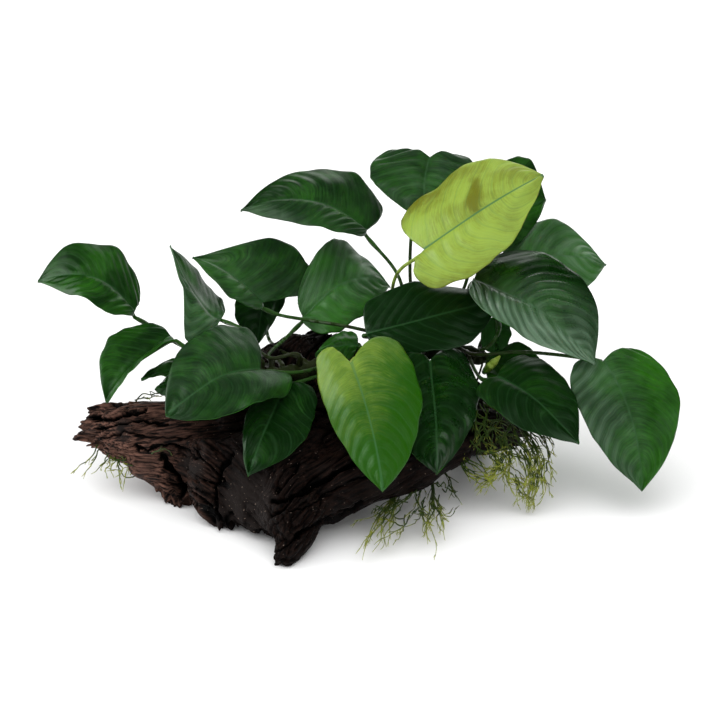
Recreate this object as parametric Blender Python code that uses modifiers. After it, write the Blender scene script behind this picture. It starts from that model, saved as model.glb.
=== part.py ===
"""Anubias growing on driftwood, with tufts of aquatic moss.

Every spot is laid out as (across, up, toward) in millimetres, the way a maker would sketch the plant
from the front with the eye a little above it: across to the right, up on the sketch, and toward the eye.
place() turns such a spot into metres in the part's own frame, +Z up, with the feet of the wood on z = 0.
"""

import math
from typing import NamedTuple

import bmesh
import bpy
from mathutils import Vector

MM = 0.001
GAP = 0.35 * MM
MERGE = 0.01 * MM

EYE_LIFT = math.radians(25.0)
EYE_DISTANCE = 1200.0
SKETCH_CENTRE = Vector((2.9, -7.4, 66.5))

BLADE_THICKNESS = 0.7 * MM
BLADE_ROWS = 7
BLADE_COLUMNS = 4
WIDEST_SHARE = 0.38
CHEEK_SHARE = 0.72
LOBE_TURN = 0.7
TIP_POWER = 2.2

STALK_RADIUS = 1.35 * MM
STALK_STEPS = 7
STALK_SIDES = 6
STALK_RISE = 4.0 * MM
STALK_SINK = 0.5 * MM
BLADE_CLEARANCE = 1.2 * MM
BLADE_SETBACK = 1.0 * MM

RHIZOME_RADIUS = 4.5 * MM
RHIZOME_STEPS = 9
RHIZOME_SIDES = 8
FOOT_SPAN = 0.05

LIMB_STEPS = 12
LIMB_SIDES = 12
YOUNG_STEPS = 6
WEATHERING = 4
WOOD_GRAIN = 3.5 * MM
WOOD_KEPT = 0.16
WOOD_REACH = 200
MOSS_GRAIN = 2.5 * MM
MOSS_KEPT = 0.12
MOSS_GAP = 0.6 * MM


class Leaf(NamedTuple):
    """A blade and its stalk. left and right hold each edge's widest spot and one nearer the tip, as seen
    from the blade's face with its tip pointing away. lobes and shoulders are for the left and the right."""

    name: str
    base: tuple
    middle: tuple
    tip: tuple
    left: tuple
    right: tuple
    lobes: tuple
    shoulders: tuple
    cup: float
    foot: tuple
    way: tuple
    colour: str = "green"


class Limb(NamedTuple):
    """Something round that tapers: spots of the sketch along its middle, and its width at each."""

    spots: tuple
    widths: tuple


LEAVES = (
    Leaf("far_left", (-113, 24, -9), (-133.5, 41.5, -12), (-161, 39.5, -28),
         ((-129.5, 26, 4), (-145, 32.5, -8)), ((-125, 57.5, -28), (-148.5, 56, -30)),
         (0.0, 0.05), (0.10, 0.62), 1.5, (0.05, -45),
         ((-60, 0, -14), (-89, 7, -17), (-103, 16, -17))),
    Leaf("low_left", (-94, 11, -2), (-113, -2, 4), (-127, -21, 6),
         ((-107.5, 0.5, 16), (-118.5, -11, 13)), ((-123.5, 12, -6), (-130, -3, 0)),
         (0.0, 0.04), (0.62, 0.62), 1.0, (0.0, -50), ((-62, -1, 2), (-86, 5.5, -3))),
    Leaf("narrow_left", (-69, 21.5, -22), (-80.5, 30, -30), (-95, 57, -44),
         ((-88, 12.5, -12), (-89, 36.5, -30)), ((-76, 36.5, -50), (-84, 48, -52)),
         (0.05, 0.05), (0.62, 0.30), 1.0, (0.16, 5), ((-45, 1, 7), (-58, 15, -10))),
    Leaf("upper_left", (-49, 28.5, -38), (-62, 41.5, -38), (-83.5, 51.5, -46),
         ((-63, 31.5, -24), (-73.5, 39.5, -34)), ((-30.5, 51, -58), (-47, 61.5, -60)),
         (0.05, 0.16), (0.30, 1.05), 1.5, (0.58, -45),
         ((10, 13, -20), (-7.5, 17, -16), (-26, 20, -22), (-42, 23, -34))),
    Leaf("behind_left", (-44, 41, -66), (-49, 24, -60), (-51.5, 7, -54),
         ((-38, 28, -66), (-45, 16, -60)), ((-63, 27, -58), (-60, 16, -54)),
         (0.05, 0.05), (0.62, 0.62), 1.5, (0.22, -85), ((-40, 5, -32), (-47, 20, -72))),
    Leaf("mid_left", (-28.5, 21.5, -36), (-5, 40, -36), (15, 36.5, -50),
         ((-12.5, 60.5, -58), (0, 52.5, -58)), ((-8, 15.5, -22), (6.5, 26.5, -30)),
         (0.03, 0.0), (0.45, 0.12), 2.0, (0.10, -75), ((-46, 1, -12), (-36, 12, -32))),
    Leaf("front_left", (-50, -4, 18), (-73, -10, 28), (-97, -27.5, 32),
         ((-58.5, -24, 42), (-74, -31, 41)), ((-72.5, 16.5, 2), (-92, 2, 10)),
         (0.24, 0.05), (0.50, 0.50), 2.0, (0.46, 60), ((-12, -1, 3), (-30, -6, 12))),
    Leaf("small_left", (-84, -1, -8), (-96, -4.5, -4), (-109.5, -9, -2),
         ((-92, -7, -1), (-101, -8.5, -2)), ((-92, 1, -13), (-101, -3, -10)),
         (0.0, 0.0), (0.62, 0.62), 0.6, (0.05, -80), ((-66, -6, -10),)),
    Leaf("tiny_left", (-87, -6, 5), (-95, -10.5, 8), (-102.5, -14.5, 9),
         ((-95, -18, 5), (-100, -17, 7)), ((-94.5, -6, 2), (-99, -11, 5)),
         (0.0, 0.0), (0.62, 0.62), 0.4, (0.0, 0), ((-66, -9, 4),)),
    Leaf("front_low", (-37, -12.5, 14), (-47, -34, 31), (-56, -57.5, 42),
         ((-24, -30.5, 30), (-33, -46, 38)), ((-57, -27, 24), (-58.5, -44, 35)),
         (0.03, 0.03), (0.45, 0.45), 1.5, (0.36, 85), ((-24, -9, 10),)),
    Leaf("inner", (-1, 7.5, 5), (-11, 7, 9), (-22, 3, 13),
         ((-12.5, -1, 15), (-18, 0, 14)), ((-9, 14.5, 1), (-18, 8.5, 7)),
         (0.0, 0.0), (0.62, 0.62), 0.6, (0.42, 25), ((0, 5, 0),)),
    Leaf("front_lime", (-4.5, -1, 26), (5.5, -32, 46), (11.5, -65.5, 56),
         ((32.5, -20, 30), (27, -45, 42)), ((-17.5, -24, 34), (-7, -46, 44)),
         (0.10, 0.08), (1.00, 0.62), 2.5, (0.52, 80), ((0, 2, 12),), "lime"),
    Leaf("front_right", (35, 0, 6), (38, -30, 25), (38.5, -57, 31),
         ((60, -21, 8), (51.5, -42, 18)), ((16, -22.5, 24), (23.5, -44, 28)),
         (0.08, 0.05), (0.62, 0.62), 1.5, (0.70, 70), ((30, 3, -4),)),
    Leaf("centre", (3, 13.5, -8), (36, 22, -2), (71.5, 30.5, -10),
         ((28, 39, -16), (52, 35.5, -14)), ((34, 5, 4), (56, 9.5, -2)),
         (0.0, 0.0), (0.85, 0.40), 1.5, (0.50, -15), ((2, 12, -12),)),
    Leaf("high_left", (3, 64.5, -42), (-24.5, 80.5, -40), (-59.5, 75, -54),
         ((-19, 66.5, -26), (-39.5, 71, -38)), ((-9, 95.5, -60), (-41, 91, -62)),
         (0.0, 0.06), (0.20, 0.80), 1.5, (0.64, -30), ((20, 40, -32),)),
    Leaf("top", (35, 101.5, -66), (32, 85, -50), (34, 67, -32),
         ((57, 91, -54), (50, 80, -42)), ((4.5, 94, -52), (12.5, 82.5, -44)),
         (0.0, 0.03), (0.50, 0.62), 2.5, (0.70, -35), ((25, 44, -34), (28, 80, -52))),
    Leaf("top_lime", (32, 55.5, 2), (63.5, 77, 8), (91.5, 92.5, 0),
         ((44, 91, -20), (65.5, 101, -18)), ((69.5, 51, 24), (83, 69, 16)),
         (0.05, 0.13), (0.75, 0.55), 2.5, (0.62, 0), ((16, 30, -32), (18, 42, -24)), "lime"),
    Leaf("behind_top", (59, 66, -32), (76.5, 74, -34), (93, 80, -46),
         ((74, 100.5, -52), (86, 99.5, -54)), ((77.5, 57.5, -24), (88, 68, -36)),
         (0.05, 0.05), (0.62, 0.62), 1.5, (0.78, -50), ((52, 36, -40),)),
    Leaf("back_right", (74, 49, -22), (100, 53, -20), (123, 47.5, -32),
         ((94, 70, -40), (110, 62.5, -38)), ((96, 33, -8), (114, 36, -18)),
         (0.05, 0.05), (0.62, 0.62), 1.5, (0.86, -40), ((66, 30, -34),)),
    Leaf("wet_right", (57, 40, -2), (88, 26, 14), (117.5, -2, 8),
         ((100.5, 49, -8), (119, 27, -4)), ((73, 18, 22), (93.5, 7, 18)),
         (0.05, 0.0), (0.55, 0.30), 2.0, (0.80, 0), ((50, 18, -26), (53, 32, -24))),
    Leaf("small_right", (67.5, 21.5, -16), (68, 12, -14), (67, 3, -13),
         ((60.5, 12, -13), (62, 6, -12)), ((75.5, 14, -17), (73, 7, -15)),
         (0.0, 0.0), (0.62, 0.62), 0.6, (0.97, -10), ((60, 5, -11), (64.5, 7, -7), (69.5, 15, -7))),
    Leaf("under_right", (64, -2.5, -14), (79, -2, -11), (94, -6, -8),
         ((79, 8.5, -16), (87, 4, -12)), ((77.5, -12.5, -4), (86, -10, -4)),
         (0.05, 0.05), (0.62, 0.62), 0.8, (1.0, 70), ()),
    Leaf("low_right", (68.5, -8, 8), (86.5, -19, 18), (109.5, -42, 20),
         ((95.5, -2, 2), (108, -18.5, 10)), ((72.5, -28, 24), (89, -38, 22)),
         (0.05, 0.05), (0.62, 0.62), 1.5, (0.90, 60), ((58, -6, -6), (62, -10, 1))),
    Leaf("far_right", (121.5, -0.5, 0), (136, -30, 12), (141, -65.5, 15),
         ((160, -18.5, 4), (156, -43.5, 10)), ((108, -22, 8), (122, -46.5, 12)),
         (0.08, 0.02), (0.70, 0.35), 2.0, (0.84, 45), ((56, 3, -6), (80, 4, -5), (104, 2, -6))),
)

RHIZOME_SPOTS = (
    (-49, -9, 8), (-30, -6, 3), (-7.5, 0, -8), (20, 4, -18), (45, 4, -24), (63.5, 1, -26),
)

YOUNG_LEAF = Limb(((62, -6, -9), (64, -4, -5), (67, -1, -3), (70, 2, -2)), (3, 4.5, 4, 1))

LIMBS = (
    Limb(((-70, -30, -5), (-40, -27, -10), (0, -24, -15), (35, -22, -20), (60, -26, -18)),
         (34, 40, 42, 38, 30)),
    Limb(((-60, -33, -8), (-92, -37, -10), (-112, -37.5, -12), (-127, -35.5, -14), (-137, -35, -14)),
         (34, 38, 34, 24, 14)),
    Limb(((-85, -44, -8), (-86, -58, -5), (-89, -71.5, -3)), (28, 20, 10)),
    Limb(((-68, -45, 6), (-71, -67, 14), (-67, -84, 22)), (34, 26, 10)),
    Limb(((-55, -45, 8), (-54, -66, 22), (-49, -80, 31)), (36, 28, 16)),
    Limb(((-30, -40, 6), (-33, -63, 27), (-34, -80, 42), (-35, -94, 50), (-41, -102, 55)),
         (38, 36, 30, 18, 11)),
    Limb(((-33, -70, 30), (-12, -62, 26), (6, -57, 22), (30, -50, 13), (50, -41, 2)),
         (30, 34, 29, 24, 21)),
    Limb(((-20, -46, 8), (12, -40, 4), (42, -34, -4)), (34, 34, 26)),
    Limb(((50, -34, -6), (65, -35, -8), (79, -39, -12)), (26, 24, 12)),
    Limb(((-40, -18, -35), (-30, -2, -47), (-18, 8, -56)), (32, 28, 18)),
    Limb(((-25, -20, -42), (-22, -27, -70), (-20, -34, -92)), (32, 24, 15)),
    Limb(((54, -30, -22), (56, -38, -50), (58, -43, -72)), (26, 20, 13)),
)

# Where each main fork is parted from the body, as a range of X and one of Y in millimetres.
FORKS = {
    "driftwood_left_limb": ((-180, -77), (-130, 120)),
    "driftwood_right_limb": ((46, 130), (-130, 120)),
    "driftwood_front_foot": ((-55, 45.6), (-130, -54)),
    "driftwood_rear_limb": ((-76.6, 45.6), (29, 120)),
}

TUFTS = {
    "moss_left": (
        Limb(((-106, -56, -2), (-116, -56, -3), (-127, -53, -3), (-142, -56, -3)), (14, 14, 12, 4)),
        Limb(((-116, -58, -3), (-117, -66.5, -3)), (10, 4)),
    ),
    "moss_top": (Limb(((-113, -19, -8), (-104, -16, -6), (-97, -19, -8)), (5, 8, 5)),),
    "moss_front": (
        Limb(((34, -63, 12), (22, -76, 34), (2, -98, 56)), (22, 26, 7)),
        Limb(((34, -63, 12), (34, -80, 38), (38, -97, 54)), (22, 22, 7)),
        Limb(((22, -76, 34), (0, -82, 46)), (18, 7)),
        Limb(((34, -63, 12), (51, -71, 26)), (22, 8)),
    ),
    "moss_right": (
        Limb(((67, -25, 4), (76, -35, 5), (84, -54, 8), (86, -73, 10)), (12, 22, 20, 6)),
        Limb(((67, -27, 4), (65, -43, 8), (70, -64, 13)), (12, 18, 9)),
        Limb(((76, -35, 5), (93, -44, 8)), (20, 8)),
    ),
}


def place(across, up, toward):
    """The point at a spot of the sketch, in metres in the part's frame."""
    shrink = 1.0 - toward / EYE_DISTANCE
    rise = Vector((0.0, math.sin(EYE_LIFT), math.cos(EYE_LIFT)))
    sight = Vector((0.0, -math.cos(EYE_LIFT), math.sin(EYE_LIFT)))
    spot = SKETCH_CENTRE + Vector((across * shrink, 0.0, 0.0)) + rise * (up * shrink) + sight * toward
    return spot * MM


def quadratic(start, control, end, share):
    """A point of the curve that leaves start for control and arrives at end."""
    rest = 1.0 - share
    return start * (rest * rest) + control * (2.0 * rest * share) + end * (share * share)


def breadth(share, shoulder):
    """A blade's half width as a share of its widest: a round heart-shaped base and a pointed tip."""
    if share < WIDEST_SHARE:
        back = (WIDEST_SHARE - share) / WIDEST_SHARE
        roundness = 1.0 - min(shoulder, 0.5)
        return shoulder + (1.0 - shoulder) * max(0.0, 1.0 - back * back) ** roundness
    ahead = (share - WIDEST_SHARE) / (1.0 - WIDEST_SHARE)
    return 1.0 - ahead**TIP_POWER


class Blade:
    """A leaf's surface: its midrib, and the two halves that spread from it."""

    def __init__(self, leaf):
        self.leaf = leaf
        self.base, self.tip = place(*leaf.base), place(*leaf.tip)
        self.control = place(*leaf.middle) * 2.0 - (self.base + self.tip) / 2.0
        taper = breadth(CHEEK_SHARE, 0.0)
        self.halves = [
            (place(*wide) - self.rib(WIDEST_SHARE), (place(*cheek) - self.rib(CHEEK_SHARE)) / taper)
            for wide, cheek in (leaf.left, leaf.right)
        ]
        across = self.halves[1][0] - self.halves[0][0]
        self.face = across.cross(self.tangent(WIDEST_SHARE)).normalized()

    def rib(self, share):
        if share < 0.0:
            return self.base + (self.control - self.base) * (2.0 * share)
        return quadratic(self.base, self.control, self.tip, share)

    def tangent(self, share):
        way = (self.control - self.base) * (1.0 - share) + (self.tip - self.control) * share
        return way.normalized()

    def point(self, share, side):
        """The point at a share of the length, side running from -1 at the left edge to 1 at the right."""
        half = 0 if side < 0.0 else 1
        reach = -self.leaf.lobes[half] * math.sin(math.pi * LOBE_TURN * abs(side))
        along = reach + (1.0 - reach) * share
        wide, cheek = self.halves[half]
        mix = min(max((share - WIDEST_SHARE) / (CHEEK_SHARE - WIDEST_SHARE), 0.0), 1.0)
        spread = wide.lerp(cheek, mix) * (abs(side) * breadth(share, self.leaf.shoulders[half]))
        rise = self.face * (self.leaf.cup * MM * math.sin(math.pi * abs(side)) * (1.0 - share))
        return self.rib(along) + spread + rise


def heading(points, k):
    """The direction in which the smooth curve passes a point."""
    steps = [(b - a).normalized() for a, b in zip(points, points[1:])]
    return (steps[max(k - 1, 0)] + steps[min(k, len(steps) - 1)]).normalized()


def span_at(points, share):
    """The number of the span that a share of the whole length falls in, its own share, and its length."""
    lengths = [(b - a).length for a, b in zip(points, points[1:])]
    walk, k = share * sum(lengths), 0
    while k < len(lengths) - 1 and walk > lengths[k]:
        walk -= lengths[k]
        k += 1
    return k, min(walk / lengths[k], 1.0), lengths[k]


def along_spline(points, share):
    """A point of the smooth curve through the points in turn, at a share of its length."""
    k, t, length = span_at(points, share)
    return (
        points[k] * (2.0 * t**3 - 3.0 * t**2 + 1.0)
        + heading(points, k) * (length * (t**3 - 2.0 * t**2 + t))
        + points[k + 1] * (3.0 * t**2 - 2.0 * t**3)
        + heading(points, k + 1) * (length * (t**3 - t**2))
    )


def between(points, values, share):
    """A value between those given at the points, at a share of the way along them."""
    k, t, _ = span_at(points, share)
    return values[k] * (1.0 - t) + values[k + 1] * t


RHIZOME_WAY = tuple(place(*spot) for spot in RHIZOME_SPOTS)


def foot_of(leaf):
    """Where a stalk leaves the rhizome, and its direction there. Turn 0 is up and 90 is to the front."""
    share, turn = leaf.foot
    behind = along_spline(RHIZOME_WAY, max(share - FOOT_SPAN, 0.0))
    ahead = along_spline(RHIZOME_WAY, min(share + FOOT_SPAN, 1.0)) - behind
    front = ahead.cross(Vector((0.0, 0.0, 1.0))).normalized()
    top = front.cross(ahead).normalized()
    out = top * math.cos(math.radians(turn)) + front * math.sin(math.radians(turn))
    reach = RHIZOME_RADIUS + STALK_RADIUS - STALK_SINK
    return along_spline(RHIZOME_WAY, share) + out * reach, out


def stalk_way(leaf):
    """The points that a stalk passes, from the rhizome to just behind the foot of its blade."""
    blade = Blade(leaf)
    foot, out = foot_of(leaf)
    below = blade.base - blade.face * (STALK_RADIUS + BLADE_CLEARANCE)
    end = below - blade.tangent(0.0) * BLADE_SETBACK
    return [foot, foot + out * STALK_RISE, *(place(*spot) for spot in leaf.way), end]


def material(name, colour, roughness):
    made = bpy.data.materials.new(name)
    made.use_nodes = True
    shader = made.node_tree.nodes["Principled BSDF"]
    shader.inputs["Base Color"].default_value = (*colour, 1.0)
    shader.inputs["Roughness"].default_value = roughness
    shader.inputs["Metallic"].default_value = 0.0
    made.diffuse_color = (*colour, 1.0)
    return made


def new_collection(name):
    made = bpy.data.collections.new(name)
    bpy.context.scene.collection.children.link(made)
    return made


def link_mesh(name, mesh, collection, surface):
    made = bpy.data.objects.new(name, mesh)
    mesh.materials.clear()
    mesh.materials.append(surface)
    collection.objects.link(made)
    return made


def finished_mesh(thing):
    """The thing's mesh as its modifiers or its bevel leave it."""
    view = bpy.context.evaluated_depsgraph_get()
    return bpy.data.meshes.new_from_object(thing.evaluated_get(view))


def tube(name, points, radii, sides, collection, surface):
    """A round tube through the points, with a radius at each, closed at both ends."""
    curve = bpy.data.curves.new(name, "CURVE")
    curve.dimensions = "3D"
    curve.bevel_depth = 1.0
    curve.bevel_resolution = (sides - 4) // 2
    curve.use_fill_caps = True
    spline = curve.splines.new("POLY")
    spline.points.add(len(points) - 1)
    for spot, point, radius in zip(spline.points, points, radii, strict=True):
        spot.co = (*point, 1.0)
        spot.radius = radius
    line = bpy.data.objects.new(name + "_line", curve)
    collection.objects.link(line)
    mesh = finished_mesh(line)
    bpy.data.objects.remove(line)
    work = bmesh.new()
    work.from_mesh(mesh)
    bmesh.ops.remove_doubles(work, verts=work.verts, dist=MERGE)
    bmesh.ops.recalc_face_normals(work, faces=work.faces)
    work.to_mesh(mesh)
    work.free()
    return link_mesh(name, mesh, collection, surface)


def limb_tube(name, limb, steps, sides, collection, surface):
    """A round tube that follows a limb and tapers with it."""
    spots = [place(*spot) for spot in limb.spots]
    shares = [k / steps for k in range(steps + 1)]
    points = [along_spline(spots, share) for share in shares]
    radii = [between(spots, limb.widths, share) * MM / 2.0 for share in shares]
    return tube(name, points, radii, sides, collection, surface)


def rhizome_tube(name, radius, collection, surface):
    points = [along_spline(RHIZOME_WAY, k / RHIZOME_STEPS) for k in range(RHIZOME_STEPS + 1)]
    return tube(name, points, [radius] * len(points), RHIZOME_SIDES, collection, surface)


def as_cutter(thing):
    """Marks a helper that shapes other pieces and is no piece itself."""
    thing.hide_render = True
    thing.display_type = "WIRE"
    return thing


def add_boolean(thing, cutter, operation):
    cut = thing.modifiers.new(cutter.name, "BOOLEAN")
    cut.operation = operation
    cut.object = cutter


def box_cutter(name, across, depth, height, cutters):
    """A box between two values of X, of Y and of Z, in millimetres."""
    sides = (across, depth, height)
    size = Vector([high - low for low, high in sides]) * MM
    middle = Vector([(high + low) / 2.0 for low, high in sides]) * MM
    work = bmesh.new()
    bmesh.ops.create_cube(work, size=1.0)
    bmesh.ops.scale(work, vec=size, verts=work.verts)
    bmesh.ops.translate(work, vec=middle, verts=work.verts)
    mesh = bpy.data.meshes.new(name)
    work.to_mesh(mesh)
    work.free()
    cutter = bpy.data.objects.new(name, mesh)
    cutters.objects.link(cutter)
    return as_cutter(cutter)


def grown_together(name, limbs, grain, kept, cutters, surface):
    """One skin around all the limbs, in plain facets."""
    work = bmesh.new()
    for limb in limbs:
        stretch = limb_tube("stretch", limb, LIMB_STEPS, LIMB_SIDES, cutters, surface)
        work.from_mesh(stretch.data)
        bpy.data.objects.remove(stretch)
    mesh = bpy.data.meshes.new(name)
    work.to_mesh(mesh)
    work.free()
    whole = link_mesh(name, mesh, cutters, surface)
    skin = whole.modifiers.new("Skin", "REMESH")
    skin.mode = "VOXEL"
    skin.voxel_size = grain
    weathered = whole.modifiers.new("Weathered", "SMOOTH")
    weathered.iterations = WEATHERING
    plain = whole.modifiers.new("Plain", "DECIMATE")
    plain.ratio = kept
    return as_cutter(whole)


def add_driftwood(whole, collection, cutters, surface):
    """The wood split at its main forks, cut flat where it stands and grooved for the rhizome."""
    groove = as_cutter(rhizome_tube("rhizome_groove", RHIZOME_RADIUS + GAP, cutters, surface))
    everywhere = (-WOOD_REACH, WOOD_REACH)
    above_floor = box_cutter("above_floor", everywhere, everywhere, (0, WOOD_REACH), cutters)
    body = link_mesh("driftwood_body", finished_mesh(whole), collection, surface)
    add_boolean(body, above_floor, "INTERSECT")
    for name, (across, depth) in FORKS.items():
        piece = link_mesh(name, finished_mesh(whole), collection, surface)
        region = box_cutter(name + "_region", across, depth, (0, WOOD_REACH), cutters)
        add_boolean(piece, region, "INTERSECT")
        add_boolean(piece, groove, "DIFFERENCE")
        wider = [(low - GAP / MM, high + GAP / MM) for low, high in (across, depth)]
        beyond = box_cutter(name + "_beyond", *wider, everywhere, cutters)
        add_boolean(body, beyond, "DIFFERENCE")
    add_boolean(body, groove, "DIFFERENCE")


def add_moss(whole, collection, cutters, surface):
    """Each tuft as one plain mass that reaches its tips and stays just clear of the wood."""
    clear = as_cutter(link_mesh("wood_and_gap", finished_mesh(whole), cutters, surface))
    swollen = clear.modifiers.new("Gap", "DISPLACE")
    swollen.strength = MOSS_GAP
    swollen.mid_level = 0.0
    for name, limbs in TUFTS.items():
        mass = grown_together(name + "_mass", limbs, MOSS_GRAIN, MOSS_KEPT, cutters, surface)
        tuft = link_mesh(name, finished_mesh(mass), collection, surface)
        add_boolean(tuft, clear, "DIFFERENCE")


def add_blade(leaf, collection, surface):
    blade = Blade(leaf)
    work = bmesh.new()
    bmesh.ops.create_grid(work, x_segments=BLADE_COLUMNS, y_segments=BLADE_ROWS, size=1.0)
    for vertex in work.verts:
        vertex.co = blade.point((vertex.co.y + 1.0) / 2.0, vertex.co.x)
    bmesh.ops.remove_doubles(work, verts=work.verts, dist=MERGE)
    mesh = bpy.data.meshes.new("leaf_" + leaf.name)
    work.to_mesh(mesh)
    work.free()
    mesh.shade_smooth()
    made = link_mesh("leaf_" + leaf.name, mesh, collection, surface)
    shell = made.modifiers.new("Thickness", "SOLIDIFY")
    shell.thickness = BLADE_THICKNESS
    shell.offset = 0.0


def add_stalk(leaf, collection, surface):
    way = stalk_way(leaf)
    points = [along_spline(way, k / STALK_STEPS) for k in range(STALK_STEPS + 1)]
    radii = [STALK_RADIUS] * len(points)
    tube("stalk_" + leaf.name, points, radii, STALK_SIDES, collection, surface)


def main():
    for thing in list(bpy.data.objects):
        bpy.data.objects.remove(thing)
    collection = new_collection("anubias_on_driftwood")
    cutters = new_collection("cutters")
    blade_finish = {
        "green": material("leaf_green", (0.03, 0.12, 0.03), 0.35),
        "lime": material("leaf_lime", (0.35, 0.45, 0.05), 0.35),
    }
    stalk_finish = material("stalk", (0.08, 0.16, 0.04), 0.4)
    rhizome_finish = material("rhizome", (0.08, 0.10, 0.04), 0.6)
    wood_finish = material("driftwood", (0.03, 0.02, 0.015), 0.7)
    moss_finish = material("moss", (0.10, 0.16, 0.03), 0.8)
    whole = grown_together("driftwood_whole", LIMBS, WOOD_GRAIN, WOOD_KEPT, cutters, wood_finish)
    add_driftwood(whole, collection, cutters, wood_finish)
    rhizome_tube("rhizome", RHIZOME_RADIUS, collection, rhizome_finish)
    add_moss(whole, collection, cutters, moss_finish)
    limb_tube("young_leaf", YOUNG_LEAF, YOUNG_STEPS, STALK_SIDES, collection, blade_finish["lime"])
    for leaf in LEAVES:
        add_blade(leaf, collection, blade_finish[leaf.colour])
        add_stalk(leaf, collection, stalk_finish)


if __name__ == "__main__":
    main()
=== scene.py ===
"""The looks of an anubias that grows on driftwood among tufts of aquatic moss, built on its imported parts.

Spots are laid out as in the part's own source, as (across, up, toward) in millimetres on a sketch drawn from
the front with the eye a little above the plant. place() turns a spot into metres in the part's frame.
"""

import math
import random
from typing import NamedTuple

import bmesh
import bpy
import numpy as np
from bpy.props import FloatProperty, FloatVectorProperty, IntProperty, PointerProperty
from mathutils import Matrix, Vector, noise
from mathutils.bvhtree import BVHTree


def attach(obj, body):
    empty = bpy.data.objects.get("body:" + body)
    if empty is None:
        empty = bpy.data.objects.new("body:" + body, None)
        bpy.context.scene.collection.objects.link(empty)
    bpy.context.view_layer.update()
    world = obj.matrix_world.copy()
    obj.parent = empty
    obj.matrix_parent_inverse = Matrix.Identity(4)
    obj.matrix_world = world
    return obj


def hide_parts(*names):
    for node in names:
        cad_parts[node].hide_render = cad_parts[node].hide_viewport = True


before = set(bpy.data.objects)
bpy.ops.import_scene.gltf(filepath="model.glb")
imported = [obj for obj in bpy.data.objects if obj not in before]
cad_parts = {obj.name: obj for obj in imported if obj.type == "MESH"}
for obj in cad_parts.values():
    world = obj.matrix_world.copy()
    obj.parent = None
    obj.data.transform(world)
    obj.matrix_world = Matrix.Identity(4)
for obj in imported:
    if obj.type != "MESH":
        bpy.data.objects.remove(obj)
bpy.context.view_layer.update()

bl_info = {
    "name": "Anubias on driftwood",
    "version": (1, 0, 0),
    "blender": (4, 5, 0),
    "location": "View3D > Sidebar > Anubias",
    "description": "Builds the blades, petioles, rhizome, driftwood and moss of an anubias on driftwood",
    "category": "Add Mesh",
}

MM = 0.001
MERGE = 0.01 * MM

EYE_LIFT = math.radians(25.0)
EYE_DISTANCE = 1200.0
SIGHT = (0.0, -math.cos(EYE_LIFT), math.sin(EYE_LIFT))
RISE = (0.0, math.sin(EYE_LIFT), math.cos(EYE_LIFT))
SKETCH_CENTRE = Vector((2.9, -7.4, 66.5))

BLADE_ROWS = 80
BLADE_COLUMNS = 52
WIDEST_SHARE = 0.38
CHEEK_SHARE = 0.72
LOBE_TURN = 0.7
TIP_POWER = 2.2
TIP_PINCH = 0.45
EDGE_STRAY = 0.05
VEIN_LEAN = 0.30
VEIN_BEND = 1.4

STALK_RADIUS = 1.35 * MM
STALK_STEPS = 46
STALK_SIDES = 12
STALK_RISE = 4.0 * MM
STALK_SINK = 0.5 * MM
BLADE_CLEARANCE = 1.2 * MM
BLADE_SETBACK = 1.0 * MM
KEEL_STEPS = 20

RHIZOME_RADIUS = 4.5 * MM
RHIZOME_STEPS = 110
RHIZOME_SIDES = 24
SCAR_SPACING = 4.6 * MM
FOOT_SPAN = 0.05
YOUNG_STEPS = 28
YOUNG_SIDES = 24

LIMB_STEPS = 16
LIMB_SIDES = 20
GRAIN_STEPS = 48
ROOT_SIDES = 7
ROOT_SEED = 41

MOSS_SEED = 100
LED_STEPS = 18
STRAYED_STEPS = 14
SHOOT_STEPS = 6

LIME_COLOURS = ("lime", "pale")
GLOSS_TINT = (0.62, 1.0, 0.64)
# Grey-green colour painted on the blades as their sheen.
PAINTED_SHEEN_COLOUR = (0.10, 0.17, 0.105)
LIME_RIM = (0.20, 0.15, 0.02)
# Pale specks painted on the wood as glints, most of them on the worn patches.
PAINTED_GLINTS = (0.20, 0.15, 0.12)

# Each side light's spot in metres, its size, and its share of the side lights' power.
SIDE_LIGHTS = {
    "left_light": ((-1.5, 0.2, 0.6), 1.2, 1.0),
    "back_light": ((0.3, 1.6, 0.7), 1.4, 0.5),
    "right_light": ((1.1, -1.0, 0.75), 0.9, 0.2),
}


class Leaf(NamedTuple):
    """A blade and its stalk. left and right hold each edge's widest spot and one nearer the tip, as seen
    from the blade's face with its tip pointing away. lobes and shoulders are for the left and the right half.
    tone runs from dark to bright, and fade is how it changes to the right and to the tip. blunt rounds the
    tip. stain is a darker patch's share, side and size. The painted sheen is how much grey-green colour is
    painted on the blade as its sheen, and how that changes to the right and to the tip."""

    name: str
    base: tuple
    middle: tuple
    tip: tuple
    left: tuple
    right: tuple
    lobes: tuple
    shoulders: tuple
    cup: float
    foot: tuple
    way: tuple
    tone: float = 0.3
    ripple: float = 1.0
    colour: str = "green"
    fade: tuple = (0.0, 0.0)
    blunt: float = 0.0
    stain: tuple = ()
    bloom: tuple = (0.0, 0.0, 0.0)


class Limb(NamedTuple):
    """Something round that tapers: spots of the sketch along its middle, and its thickness at each."""

    spots: tuple
    widths: tuple
    frayed: float = 0.0


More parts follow.
